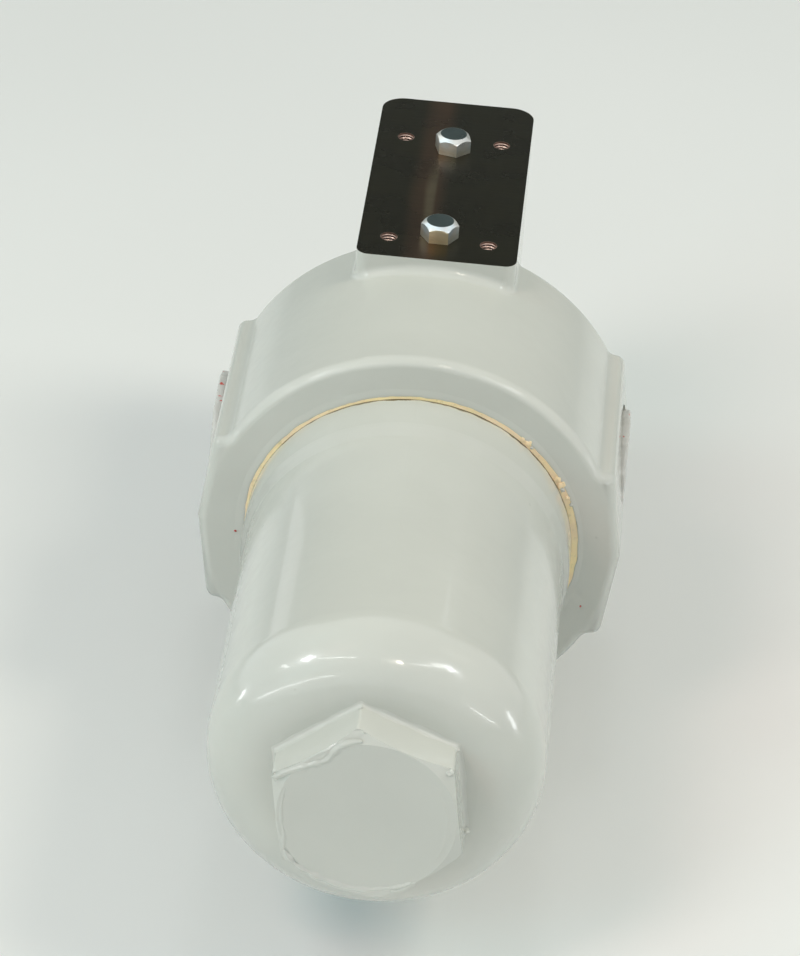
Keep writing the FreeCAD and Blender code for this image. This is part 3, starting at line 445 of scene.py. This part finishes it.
def make_port_plastic():
    """Red plastic plug, sprayed over: thick rough paint on its face, red where it chipped off the rim."""
    material, tree, shader, place = new_material("port_plastic")
    parts = put(tree, "SeparateXYZ", None, Vector=place)
    reach = calculate(tree, "ABSOLUTE", parts.outputs[0])
    port_distance = distance_from_line(tree, parts, 1, PORT_ALONG)
    flakes = noise(tree, place, 0.0020, 4.0, 0.62)
    rim = calculate(tree, "MULTIPLY", between(tree, port_distance, 0.0158, 0.0171),
                    between(tree, parts.outputs[0], -0.01, 0.01, 0.05, 0.02))
    chipped = between(tree, calculate(tree, "ADD", rim, flakes), 0.70, 0.71)
    outside = calculate(tree, "MULTIPLY", between(tree, reach, 0.0474, 0.0478),
                        between(tree, port_distance, 0.0083, 0.0088))
    painted = calculate(tree, "MULTIPLY", outside, calculate(tree, "SUBTRACT", 1.0, chipped))
    own = tree.nodes.new("ShaderNodeNewGeometry").outputs["Normal"]
    film = use(tree, PAINT_FILM, Place=place, Colour=(0.60, 0.585, 0.56, 1), Waviness=1.6, Leaning=own)
    red = blend_colours(tree, flakes, (0.42, 0.030, 0.024, 1), (0.62, 0.075, 0.060, 1))
    tree.links.new(blend_colours(tree, painted, red, film.outputs["Colour"]), shader.inputs["Base Color"])
    rough = put(tree, "Mix", None, in_0=painted, in_2=0.42, in_3=film.outputs["Roughness"])
    tree.links.new(rough.outputs[0], shader.inputs["Roughness"])
    bump = put(tree, "Bump", None, Strength=0.5, Distance=0.0001, Height=painted,
               Normal=film.outputs["Normal"])
    tree.links.new(bump.outputs[0], shader.inputs["Normal"])
    return material


def make_filter_medium():
    """Pleated glass fibre behind steel mesh: a fine square weave over soft off-white folds."""
    material, tree, shader, place = new_material("filter_medium")
    parts = put(tree, "SeparateXYZ", None, Vector=place)
    mesh_pitch = 0.0009
    rings = calculate(tree, "PINGPONG", calculate(tree, "DIVIDE", parts.outputs[1], mesh_pitch), 0.5)
    off_axis = distance_from_line(tree, parts, 0, 0.0)
    spokes = calculate(tree, "PINGPONG", calculate(tree, "DIVIDE", off_axis, mesh_pitch), 0.5)
    wires = calculate(tree, "MAXIMUM", between(tree, rings, 0.28, 0.45), between(tree, spokes, 0.28, 0.45))
    fibre = noise(tree, place, 0.0025, 4.0, 0.6)
    stain = between(tree, noise(tree, place, 0.02, 2.0), 0.4, 0.7)
    cloth = blend_colours(tree, fibre, (0.74, 0.72, 0.62, 1), (0.86, 0.85, 0.78, 1))
    cloth = blend_colours(tree, calculate(tree, "MULTIPLY", stain, 0.3), cloth, (0.60, 0.50, 0.32, 1))
    colour = blend_colours(tree, wires, cloth, (0.46, 0.46, 0.44, 1))
    bump = put(tree, "Bump", None, Strength=0.7, Distance=0.0003, Height=calculate(
        tree, "MULTIPLY_ADD", fibre, 0.4, wires))
    tree.links.new(colour, shader.inputs["Base Color"])
    tree.links.new(between(tree, wires, 0.0, 1.0, 0.8, 0.4), shader.inputs["Roughness"])
    tree.links.new(between(tree, wires, 0.4, 1.0, 0.0, 0.8), shader.inputs["Metallic"])
    tree.links.new(bump.outputs[0], shader.inputs["Normal"])
    return material


def finish_nodes():
    """The finish of each CAD node, and those that the added pieces share."""
    steel = make_metal("turned_steel", BARE_STEEL, 0.26, (1.0, 30.0, 1.0))
    zinc = make_metal("zinc_plate", (0.46, 0.45, 0.42, 1), 0.33, (4.0, 10.0, 4.0))
    rubber = make_rubber()
    plating = make_plug_plating()
    plastic = make_port_plastic()
    painted = make_painted_steel()
    cream = make_cream_plastic()
    finishes = {
        "head": make_head_finish(), "bowl": make_bowl_finish(), "bypass_plug": painted,
        "bowl_o_ring": rubber, "element_o_ring": rubber, "bowl_backup_ring": cream,
        "outlet_spigot": steel, "bypass_seat": steel, "bypass_poppet": steel, "bypass_spring": steel,
        "bypass_plug_washer": painted, "element_top_cap": zinc, "element_bottom_cap": zinc,
        "element_core": zinc, "element_band_upper": zinc, "element_band_lower": zinc,
        "element_pleats": make_filter_medium(), "inlet_gauge_plug": plating,
        "outlet_gauge_plug": plating, "inlet_port_plug": plastic, "outlet_port_plug": plastic}
    for name, finish in finishes.items():
        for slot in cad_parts[name].material_slots:
            slot.material = finish
    return painted, cream, plastic, plating, steel


# Surfaces worked out as grids of points

def make_surface(name, grid, finish, body, ring=False):
    """A closed piece from rows of points whose columns run round. A ring's rows run round too, and
    otherwise the first and last rows are closed by fans about their middles. Faces are turned over
    where the volume that they enclose comes out negative."""
    rows, columns = grid.shape[:2]
    points = grid.reshape(-1, 3)
    number = np.arange(rows * columns).reshape(rows, columns)
    beside = np.roll(number, -1, axis=1)
    if ring:
        quads = np.stack([number, beside, np.roll(beside, -1, axis=0), np.roll(number, -1, axis=0)], axis=-1)
        fans = np.zeros((0, 3), int)
    else:
        quads = np.stack([number[:-1], beside[:-1], beside[1:], number[1:]], axis=-1)
        first, last = rows * columns, rows * columns + 1
        fans = np.concatenate([
            np.stack([np.full(columns, first), beside[0], number[0]], axis=1),
            np.stack([np.full(columns, last), number[-1], beside[-1]], axis=1)])
        points = np.concatenate([points, grid[0].mean(axis=0)[None], grid[-1].mean(axis=0)[None]])
    quads = quads.reshape(-1, 4)
    corners = np.concatenate([quads[:, [0, 1, 2]], quads[:, [0, 2, 3]], fans])
    first, second, third = (points[corners[:, index]] for index in range(3))
    if (first * np.cross(second, third)).sum() < 0:
        quads, fans = quads[:, ::-1], fans[:, ::-1]
    mesh = bpy.data.meshes.new(name)
    mesh.from_pydata(points.tolist(), [], quads.tolist() + fans.tolist())
    mesh.polygons.foreach_set("use_smooth", np.ones(len(mesh.polygons), bool))
    mesh.materials.append(finish)
    piece = bpy.data.objects.new(name, mesh)
    bpy.context.scene.collection.objects.link(piece)
    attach(piece, body)
    return piece


def follow(values, at):
    """Values along a smooth curve through a few given ones, numbered from 0. Between two of them it
    is the cubic whose slope at each is half the step from its neighbour before to the one after."""
    values = np.asarray(values, float)
    low = np.clip(np.floor(at).astype(int), 0, len(values) - 2)
    share = at - low
    if values.ndim > 1:
        share = share[:, None]
    before, here = values[np.maximum(low - 1, 0)], values[low]
    there, after = values[low + 1], values[np.minimum(low + 2, len(values) - 1)]
    bend = 3 * (here - there) + after - before
    slope = 2 * before - 5 * here + 4 * there - after
    return here + 0.5 * share * (there - before + share * (slope + share * bend))


def lumps(points, size, seed):
    """Smooth random waves about size metres apart, mostly between -1 and 1: the sum of sines whose
    directions, lengths and phases a seeded generator draws."""
    waves = 16
    draw = np.random.default_rng(seed)
    directions = draw.normal(size=(3, waves))
    directions /= np.linalg.norm(directions, axis=0)
    lengths = size * draw.uniform(0.7, 1.4, waves)
    phases = draw.uniform(0, 2 * np.pi, waves)
    return np.sin(points @ (directions * 2 * np.pi / lengths) + phases).sum(axis=-1) / np.sqrt(waves)


def about_axis(degrees, radius, along):
    """Points at these angles from +X towards +Z and radii about the bowl's axis."""
    turn = np.radians(degrees)
    flat = np.broadcast_arrays(radius * np.cos(turn), along, AXIS_HEIGHT + radius * np.sin(turn))
    return np.stack(flat, axis=-1)


# The cream ring and the paint round it

def lay_cream_ring(cream):
    """The cream backup ring. Its section is a front that climbs the bowl's neck, a plain outer wall
    and a slope that follows the chamfer of the mouth; its front waves by 0.04 mm round the ring."""
    degrees = np.arange(0, 360, 0.75)
    section = np.array([  # millimetres: radius, place behind the mouth face
        (40.305, -0.24), (40.40, -0.18), (40.70, -0.12), (41.15, -0.09), (41.60, -0.06), (41.84, -0.03),
        (41.92, 0.04), (41.90, 0.12), (41.20, 0.80), (40.62, 1.30), (40.45, 1.30), (40.31, 0.40)]) / 1000
    radius, along = section[:, 0][None], section[:, 1][None] + MOUTH
    grid = about_axis(degrees[:, None], radius, along)
    front = np.clip(-section[:, 1] / 0.0002, 0, 1)[None]
    grid[..., 1] += 0.00004 * front * lumps(grid, 0.006, 3)
    ring = make_surface("cream_ring", grid, cream, "bowl_seals", ring=True)
    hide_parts("bowl_backup_ring")


def lay_ring_paint(painted):
    """The skin of paint that bridges from the head's face over the cream ring. It ends in a ragged
    edge whose radius follows the list round the ring, plus waves of 0.08 mm. Its front is a cubic
    step from the ring's crown down to the face of the head, which it meets flat and just enters."""
    edge = [40.42, 41.10, 41.22, 41.15, 40.98, 40.98, 41.02, 41.25, 41.40, 41.50, 41.80, 41.90, 41.80, 41.50,
            41.30, 41.20, 41.20, 41.20, 41.20, 41.15, 41.10, 41.00, 40.60, 40.42]  # mm, from 180 degrees down
    degrees = np.arange(0, 360, 0.5)
    inner = follow(edge + edge[:1], degrees / 15) / 1000
    inner += 0.00008 * lumps(about_axis(180 - degrees, 0.041, MOUTH), 0.0035, 5)
    inner = np.clip(inner, 0.04036, 0.0420)
    outer = 0.0436
    share = np.array([0.0, 0.03, 0.12, 0.25, 0.40, 0.55, 0.70, 0.85, 1.0])
    radius = inner[:, None] + share * (outer - inner)[:, None]
    fall = share ** 2 * (3 - 2 * share)
    swell = 1 + 0.25 * lumps(about_axis((180 - degrees)[:, None], radius, MOUTH), 0.004, 7)
    edge_round = np.clip(share / 0.12, 0, 1) ** 0.5
    rest = MOUTH - 0.00011 * (1 - fall)
    front = rest - 0.00006 * edge_round * (1 - fall) * swell + 0.00003 * fall ** 4
    back = np.broadcast_to(rest + 0.00006, radius.shape)
    grid = np.concatenate([
        about_axis((180 - degrees)[:, None], radius, front),
        about_axis((180 - degrees)[:, None], radius[:, ::-1], back[:, ::-1])], axis=1)
    make_surface("ring_paint", grid, painted, "bowl_seals", ring=True)


def drop_crumb(name, centre, reach, seed, finish, body):
    """A crumb: a ball stretched by its three reaches, whose skin waves by a quarter."""
    around = np.linspace(0, 2 * np.pi, 28, endpoint=False)[None]
    height = np.linspace(0.08, np.pi - 0.08, 16)[:, None]
    ball = np.stack(np.broadcast_arrays(
        np.sin(height) * np.cos(around), np.cos(height), np.sin(height) * np.sin(around)), axis=-1)
    skin = 1 + 0.25 * lumps(ball, 1.3, seed)
    make_surface(name, np.array(centre) + ball * skin[..., None] * np.array(reach), finish, body)


def drop_ring_crumbs(painted, cream):
    """Crumbs of plastic and paint that stand on the ring at the right."""
    crumbs = [  # degrees, radius, reach across, seed and finish, lengths in millimetres
        (51.0, 41.15, 0.55, 11, cream), (48.5, 41.35, 0.75, 12, cream), (46.5, 41.1, 0.45, 13, painted),
        (31.5, 41.25, 0.80, 14, cream), (29.0, 41.55, 0.95, 15, cream), (27.0, 41.2, 0.60, 16, painted),
        (23.5, 41.5, 0.55, 17, cream), (20.5, 41.75, 0.45, 18, painted)]
    for number, (degrees, radius, reach, seed, finish) in enumerate(crumbs, start=1):
        centre = about_axis(degrees, radius / 1000, MOUTH - 0.00012)
        drop_crumb("ring_crumb_%d" % number, centre, (reach / 1000, reach / 2200, reach / 1000), seed, finish,
                   "bowl_seals")


# Paint on the bowl's hexagon

def hexagon_reach(degrees):
    """How far the hexagon's outline is from the axis in a direction: half its width over the cosine
    of the angle from the nearest flat's middle, cut short at its rounded corners."""
    from_flat = np.mod(degrees - HEXAGON_CORNER, 60) - 30
    return np.minimum(HEXAGON_HALF / np.cos(np.radians(from_flat)), 0.02355)


def fill_hexagon_root(painted):
    """Paint gathered in the corner between the hexagon and the bowl's end: a hollow quarter circle
    1.1 mm in radius, carried round the hexagon's outline, on the end's flat and its rounded corner,
    which falls away by its radius less the root of its square less the square of the overrun."""
    degrees = np.arange(0, 360, 1.0)
    turn = np.radians(np.linspace(0, 90, 9))
    out = np.concatenate([1 - np.cos(turn), [1.05, -0.25, -0.25]]) * 0.0011
    up = np.concatenate([1 - np.sin(turn), [-0.25, -0.25, 1.0]]) * 0.0011
    uneven = 1 + 0.18 * lumps(about_axis(degrees, 0.022, BOWL_END), 0.006, 21)[:, None]
    radius = hexagon_reach(degrees)[:, None] + out * uneven
    overrun = np.clip(radius - BOWL_FLAT, 0, BOWL_CORNER)
    sag = BOWL_CORNER - np.sqrt(BOWL_CORNER ** 2 - overrun ** 2)
    grid = about_axis(degrees[:, None], radius, BOWL_END + sag - up * uneven)
    make_surface("hexagon_root_paint", grid, painted, "bowl", ring=True)


def lay_bead(name, stations, width, height, seed, painted):
    """A bead of paint on the hexagon's face. Its middle line runs smoothly through the stations,
    each (degrees, radius in mm); its section is a squared cosine, which runs out flat on both sides,
    tapers to nothing at both ends and swells unevenly on the way."""
    share = np.linspace(0, 1, 120)
    degrees, radius = follow(stations, share * (len(stations) - 1)).T
    path = about_axis(degrees, radius / 1000, HEXAGON_FACE)
    heading = np.gradient(path, axis=0)
    heading /= np.linalg.norm(heading, axis=1)[:, None]
    out = np.array([0.0, -1.0, 0.0])
    across = np.cross(heading, out)
    swell = np.sqrt(1 - np.abs(2 * share - 1) ** 5) * (1 + 0.3 * lumps(path, 0.0035, seed))
    swell = np.maximum(swell, 0.02)[:, None, None]
    over = np.linspace(-1, 1, 17)[None, :, None]
    front = width * over * across[:, None] + (height * np.cos(np.pi / 2 * over) ** 2 - 0.00001) * out
    under = width * over[:, ::-1] * across[:, None] - 0.00008 * out
    grid = path[:, None] + swell * np.concatenate([front, under], axis=1)
    make_surface(name, grid, painted, "bowl")


def lay_hexagon_paint(painted):
    """Beads, films and blobs of paint on the face of the hexagon, where it was held while it dried."""
    lay_bead("paint_lip", [(157.6, 22.9), (152.0, 21.9), (147.9, 21.0), (140.5, 19.6), (133.8, 18.7),
                           (127.5, 18.1), (122.3, 17.95), (118.5, 18.5), (114.5, 19.4), (110.5, 20.2),
                           (106.8, 20.6), (101.0, 21.0), (95.8, 21.2)], 0.0011, 0.00046, 31, painted)
    lay_bead("paint_step", [(134.0, 19.7), (128.5, 19.2), (124.5, 19.1), (120.5, 19.6)],
             0.0006, 0.00012, 32, painted)
    lay_bead("paint_right_film", [(30.0, 18.4), (15.0, 18.1), (0.0, 18.2), (-15.0, 18.4), (-30.0, 18.7)],
             0.0007, 0.00006, 37, painted)
    lay_bead("paint_film_edge", [(160.8, 19.75), (168.0, 19.4), (175.4, 19.25), (187.8, 19.2), (198.3, 19.3),
                                 (205.0, 20.1), (210.9, 21.2)], 0.0006, 0.00018, 33, painted)
    lay_bead("paint_lower_bead", [(-149.1, 21.2), (-138.4, 21.3), (-130.0, 20.7), (-122.7, 20.3),
                                  (-116.0, 20.0), (-109.8, 19.9), (-102.0, 19.9), (-94.1, 19.9),
                                  (-86.0, 19.8), (-77.8, 19.6), (-69.0, 19.8), (-61.1, 20.0),
                                  (-55.6, 20.0)],
             0.0009, 0.00046, 34, painted)
    lay_bead("paint_lower_end", [(-72.0, 20.6), (-66.0, 20.9), (-60.0, 20.6), (-54.0, 20.3)],
             0.0008, 0.00026, 35, painted)
    blobs = [  # degrees, radius, reach and depth behind the face, in millimetres
        (94.8, 22.9, 0.28, 1.15), (38.3, 22.5, 0.95, 1.35), (158.3, 22.4, 0.80, 1.25),
        (98.6, 23.3, 0.55, 9.5), (37.9, 23.3, 0.60, 9.6)]
    for number, (degrees, radius, reach, depth) in enumerate(blobs, start=1):
        centre = about_axis(degrees, radius / 1000, HEXAGON_FACE + depth / 1000)
        drop_crumb("paint_blob_%d" % number, centre, (reach / 1000, reach / 1700, reach / 1000), 40 + number,
                   painted, "bowl")
    run = about_axis(-20.5, 0.0232, BOWL_END - 0.0006)
    drop_crumb("paint_run", run, (0.0012, 0.0014, 0.0009), 60, painted, "bowl")


# Plugs of the gauge holes

def turn_gauge_plug(name, node, along, degrees, plating):
    """A hexagon plug with a turned crown, one corner at the given angle from +X. Its radius is the
    smaller of the hexagon's outline and the crown's cone, and its shank goes down into the hole."""
    turn = np.arange(0, 360, 5.0)[None]
    hexagon = 0.00415 / np.cos(np.radians(np.mod(turn - degrees, 60) - 30))
    height = np.concatenate([[-9.0, -8.0, -0.02, 0.02, 0.04, 0.5], np.linspace(2.9, 4.52, 14), [4.58, 4.60]])
    height = height[:, None] / 1000
    cone = 0.0034 + 1.15 * (0.0046 - height) - 0.00008 * (height > 0.00455)
    radius = np.where(height < 0, 0.0039, np.minimum(hexagon, cone))
    radius = np.where(height < -0.0085, 0.0035, radius)
    radius = np.where(np.abs(height - 0.00002) < 0.00001, 0.0039, radius)
    around = np.radians(turn)
    grid = np.stack(np.broadcast_arrays(
        radius * np.cos(around), along + radius * np.sin(around), PAD_HEIGHT + height), axis=-1)
    plug = make_surface(name, grid, plating, "housing")
    plug.data.set_sharp_from_angle(angle=np.radians(22))
    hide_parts(node)


# The bypass valve's spring

def coil_bypass_spring(steel):
    """The bypass spring: round wire along a helix of even turns about the valve's axis."""
    turns, wire_radius, mean_radius, height = 6, 0.0007, 0.0052, 0.083
    low, high, plug_nose, travel = 0.0428, 0.0652, 0.066, 0.005
    share = np.linspace(0, 1, turns * 48 + 1)[:, None]
    turn = share * turns * 2 * np.pi
    around = np.radians(np.arange(0, 360, 22.5))[None]
    radius = mean_radius + wire_radius * np.cos(around)
    along = low + share * (high - low) + wire_radius * np.sin(around)
    grid = np.stack(np.broadcast_arrays(
        radius * np.cos(turn), along, height - radius * np.sin(turn)), axis=-1)
    spring = make_surface("valve_spring", grid, steel, "housing")
    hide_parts("bypass_spring")
    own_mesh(spring)


# Paint caked on the port plugs

def cake_port_plug(name, side, seed, plastic):
    """A crust of sprayed paint on a port plug's flange, from the socket's rim to the flange's edge
    and down its side. It stands 0.01 to 0.38 mm off the plastic in lumps of three sizes."""
    degrees = np.arange(0, 360, 1.0)[:, None]
    steps = np.concatenate([np.linspace(0, 1, 26), [1.02, 1.03, 1.03]])[None]
    inner = 0.0104 + 0.0003 * np.sin(np.radians(6 * degrees))
    radius = inner + np.minimum(steps, 1.0) * (PLUG_RADIUS + 0.0001 - inner)
    down = np.concatenate([np.zeros(24), [0.00005, 0.0003, 0.0008, 0.0014, 0.0020]])[None]
    turn = np.radians(degrees)

    def place(depth, radius):
        parts = (side * (PLUG_FACE - depth), PORT_ALONG + radius * np.cos(turn),
                 AXIS_HEIGHT + radius * np.sin(turn))
        return np.stack(np.broadcast_arrays(*parts), axis=-1)

    base = place(down, radius)
    rough = (lumps(base, 0.0042, seed) + 0.6 * lumps(base, 0.0019, seed + 1)
             + 0.35 * lumps(base, 0.0009, seed + 2))
    tall = np.clip(0.00016 + 0.00010 * rough, 0.00001, 0.00038)
    tall[:, 0] = 0.00001
    tall[:, -1] = 0.00001
    outer = place(down - tall, radius + np.where(down > 0.0002, tall, 0.0))
    inner_side = place(down + 0.00003, radius - 0.00003)
    grid = np.concatenate([outer, inner_side[:, ::-1]], axis=1)
    make_surface(name, grid, plastic, "housing", ring=True)


def drop_red_flecks(plastic):
    """Flecks of the plugs' red plastic caught in the paint: by the ring, and low on the front rim."""
    flecks = [  # place in millimetres and reach
        ((-42.7, -30.05, 52.6), 0.28), ((-45.6, -29.2, 33.5), 0.42), ((-44.9, -29.6, 32.6), 0.25),
        ((43.9, -30.05, 40.2), 0.22)]
    for number, (centre, reach) in enumerate(flecks, start=1):
        drop_crumb("red_fleck_%d" % number, np.array(centre) / 1000, (reach / 1000,) * 3, 70 + number,
                   plastic, "housing")


# Camera, light and floor

def place_camera():
    """The photograph's view, as solved from the filter's outlines."""
    right = Vector((0.99474984, 0.08143135, 0.06198132))
    up = Vector((-0.09583167, 0.52874398, 0.84335407))
    forward = Vector((-0.03590321, 0.8448661, -0.5337717))
    camera = bpy.data.objects.new("camera", bpy.data.cameras.new("camera"))
    camera.data.sensor_width = 36
    camera.data.lens = 4290.85 / 956 * 36
    camera.data.clip_start = 0.05
    camera.data.clip_end = 20
    camera.matrix_world = Matrix((
        (right.x, up.x, -forward.x, 0.03455887), (right.y, up.y, -forward.y, -0.91502396),
        (right.z, up.z, -forward.z, 0.63164657), (0, 0, 0, 1)))
    bpy.context.scene.collection.objects.link(camera)
    bpy.context.scene.camera = camera


def add_lamp(name, azimuths, elevations, breadth, power, colour=(1, 1, 1), distance=1.3):
    """An area lamp that spans from one direction to another, as seen from the object, and faces it.
    Azimuths run from +Y towards +X, in degrees."""
    target = Vector((0, -0.05, 0.07))
    turns, tilts = np.radians(azimuths), np.radians(elevations)
    ends = [
        target + distance * Vector((np.cos(tilt) * np.sin(turn), np.cos(tilt) * np.cos(turn), np.sin(tilt)))
        for turn, tilt in zip(turns, tilts)]
    span = ends[1] - ends[0]
    data = bpy.data.lights.new(name, "AREA")
    data.shape = "RECTANGLE"
    data.size = span.length
    data.size_y = breadth
    data.energy = power
    data.color = colour
    middle = (ends[0] + ends[1]) / 2
    backwards = (middle - target).normalized()
    sideways = (span - span.dot(backwards) * backwards).normalized()
    upright = backwards.cross(sideways)
    lamp = bpy.data.objects.new(name, data)
    lamp.matrix_world = Matrix((
        (sideways.x, upright.x, backwards.x, middle.x), (sideways.y, upright.y, backwards.y, middle.y),
        (sideways.z, upright.z, backwards.z, middle.z), (0, 0, 0, 1)))
    lamp.visible_camera = False
    bpy.context.scene.collection.objects.link(lamp)
    return lamp


def light_the_studio():
    """Soft lamps round and above that light the surfaces, smaller ones that only show as glints in
    them, and a pale world behind."""
    for name, azimuth, tilt, power, colour in (
            ("overhead", 0, 70, 0.7, (1.0, 1.0, 1.0)),
            ("high_left", -90, 50, 1.9, (0.65, 1.0, 0.96)),
            ("high_front_left", -135, 50, 4.3, (1.0, 0.74, 0.66)),
            ("low_front_left", -135, 25, 2.9, (0.62, 0.95, 1.0)),
            ("high_right", 90, 50, 6.1, (1.0, 0.94, 0.79)),
            ("side_right", 90, 20, 1.1, (0.2, 0.6, 1.0))):
        soft = add_lamp(name, (azimuth - 11, azimuth + 11), (tilt, tilt), 0.5, power, colour)
        soft.visible_glossy = False
    white, cool, warm = (1.0, 1.0, 1.0), (0.95, 0.98, 1.0), (1.0, 0.88, 0.76)
    for name, azimuths, tilts, breadth, power, colour in (
            ("front_left", (-129, -119), (37, 37), 0.17, 1.3, cool),
            ("front_middle", (168, 173), (43, 43), 0.11, 0.7, warm),
            ("front_right", (122, 132), (43, 43), 0.17, 1.1, cool),
            ("front_high", (-178.5, -176.5), (57, 57), 0.03, 0.05, warm),
            ("back_left", (-43, -34), (5, 5), 0.20, 0.07, white),
            ("back_right", (23, 32), (32, 32), 0.20, 0.06, white),
            ("low_left", (-97, -92), (-1, -1), 0.16, 0.6, cool),
            ("low_right", (97, 103), (3, 3), 0.24, 0.7, cool),
            ("strip_left", (-119, -160), (2, 17), 0.025, 0.7, white),
            ("strip_right", (143, 126), (8, 2), 0.025, 0.4, white),
            ("arc_left", (-133, -160), (38, 43), 0.015, 0.40, white),
            ("arc_right", (135, 160), (44, 43), 0.015, 0.35, white),
            ("edge_left", (-118, -109), (27, 27), 0.05, 0.25, white),
            ("edge_right", (132, 143), (47, 47), 0.05, 0.25, white)):
        glint = add_lamp(name, azimuths, tilts, breadth, power, colour)
        glint.visible_diffuse = False
    world = bpy.data.worlds.new("studio")
    bpy.context.scene.world = world
    world.use_nodes = True
    tree = world.node_tree
    background = tree.nodes["Background"]
    way = put(tree, "SeparateXYZ", None, Vector=tree.nodes.new("ShaderNodeTexCoord").outputs["Generated"])
    mirrored = blend_colours(tree, between(tree, way.outputs[0], -0.5, 0.5), (1.25, 1.30, 1.30, 1),
                             (0.92, 0.94, 0.96, 1))
    path = tree.nodes.new("ShaderNodeLightPath")
    colour = blend_colours(tree, path.outputs["Is Glossy Ray"], (0.44, 0.475, 0.455, 1), mirrored)
    seen = calculate(tree, "MAXIMUM", path.outputs["Is Camera Ray"], path.outputs["Is Transmission Ray"])
    tree.links.new(blend_colours(tree, seen, colour, (0.92, 0.95, 0.97, 1)), background.inputs["Color"])


def lay_floor():
    """A pale floor that curves up behind: flat, then a quarter circle of the given radius."""
    reach, radius = 3.0, 1.0
    turn = np.linspace(0, np.pi / 2, 24)
    along = np.concatenate(([-4.0], 2.0 + radius * np.sin(turn), [2.0 + radius]))
    height = np.concatenate(([0.0], radius - radius * np.cos(turn), [4.0])) - 0.0002
    left = np.stack([np.full_like(along, -reach), along, height], axis=1)
    right = np.stack([np.full_like(along, reach), along, height], axis=1)
    points = np.concatenate([left, right])
    count = len(along)
    first = np.arange(count - 1)
    faces = np.stack([first, first + count, first + count + 1, first + 1], axis=1)
    mesh = bpy.data.meshes.new("floor")
    mesh.from_pydata(points.tolist(), [], faces.tolist())
    mesh.polygons.foreach_set("use_smooth", [True] * len(faces))
    floor = bpy.data.objects.new("floor", mesh)
    bpy.context.scene.collection.objects.link(floor)
    material, tree, shader, place = new_material("floor_paper")
    tone = between(tree, noise(tree, place, 0.4, 2.0), 0.3, 0.7, 0.78, 0.82)
    tree.links.new(put(tree, "CombineColor", None, in_0=tone, in_1=tone, in_2=tone).outputs[0],
                   shader.inputs["Base Color"])
    shader.inputs["Roughness"].default_value = 0.75
    shader.inputs["Specular IOR Level"].default_value = 0.2
    mesh.materials.append(material)


bpy.context.scene.view_settings.view_transform = "Standard"
paint, cream_plastic, red_plastic, plug_plating, spring_steel = finish_nodes()
lay_cream_ring(cream_plastic)
lay_ring_paint(paint)
drop_ring_crumbs(paint, cream_plastic)
fill_hexagon_root(paint)
lay_hexagon_paint(paint)
turn_gauge_plug("lower_gauge_plug", "inlet_gauge_plug", 0.0251, 0, plug_plating)
turn_gauge_plug("upper_gauge_plug", "outlet_gauge_plug", 0.0721, 45, plug_plating)
coil_bypass_spring(spring_steel)
cake_port_plug("inlet_plug_crust", -1, 81, red_plastic)
cake_port_plug("outlet_plug_crust", 1, 91, red_plastic)
drop_red_flecks(red_plastic)
place_camera()
light_the_studio()
lay_floor()
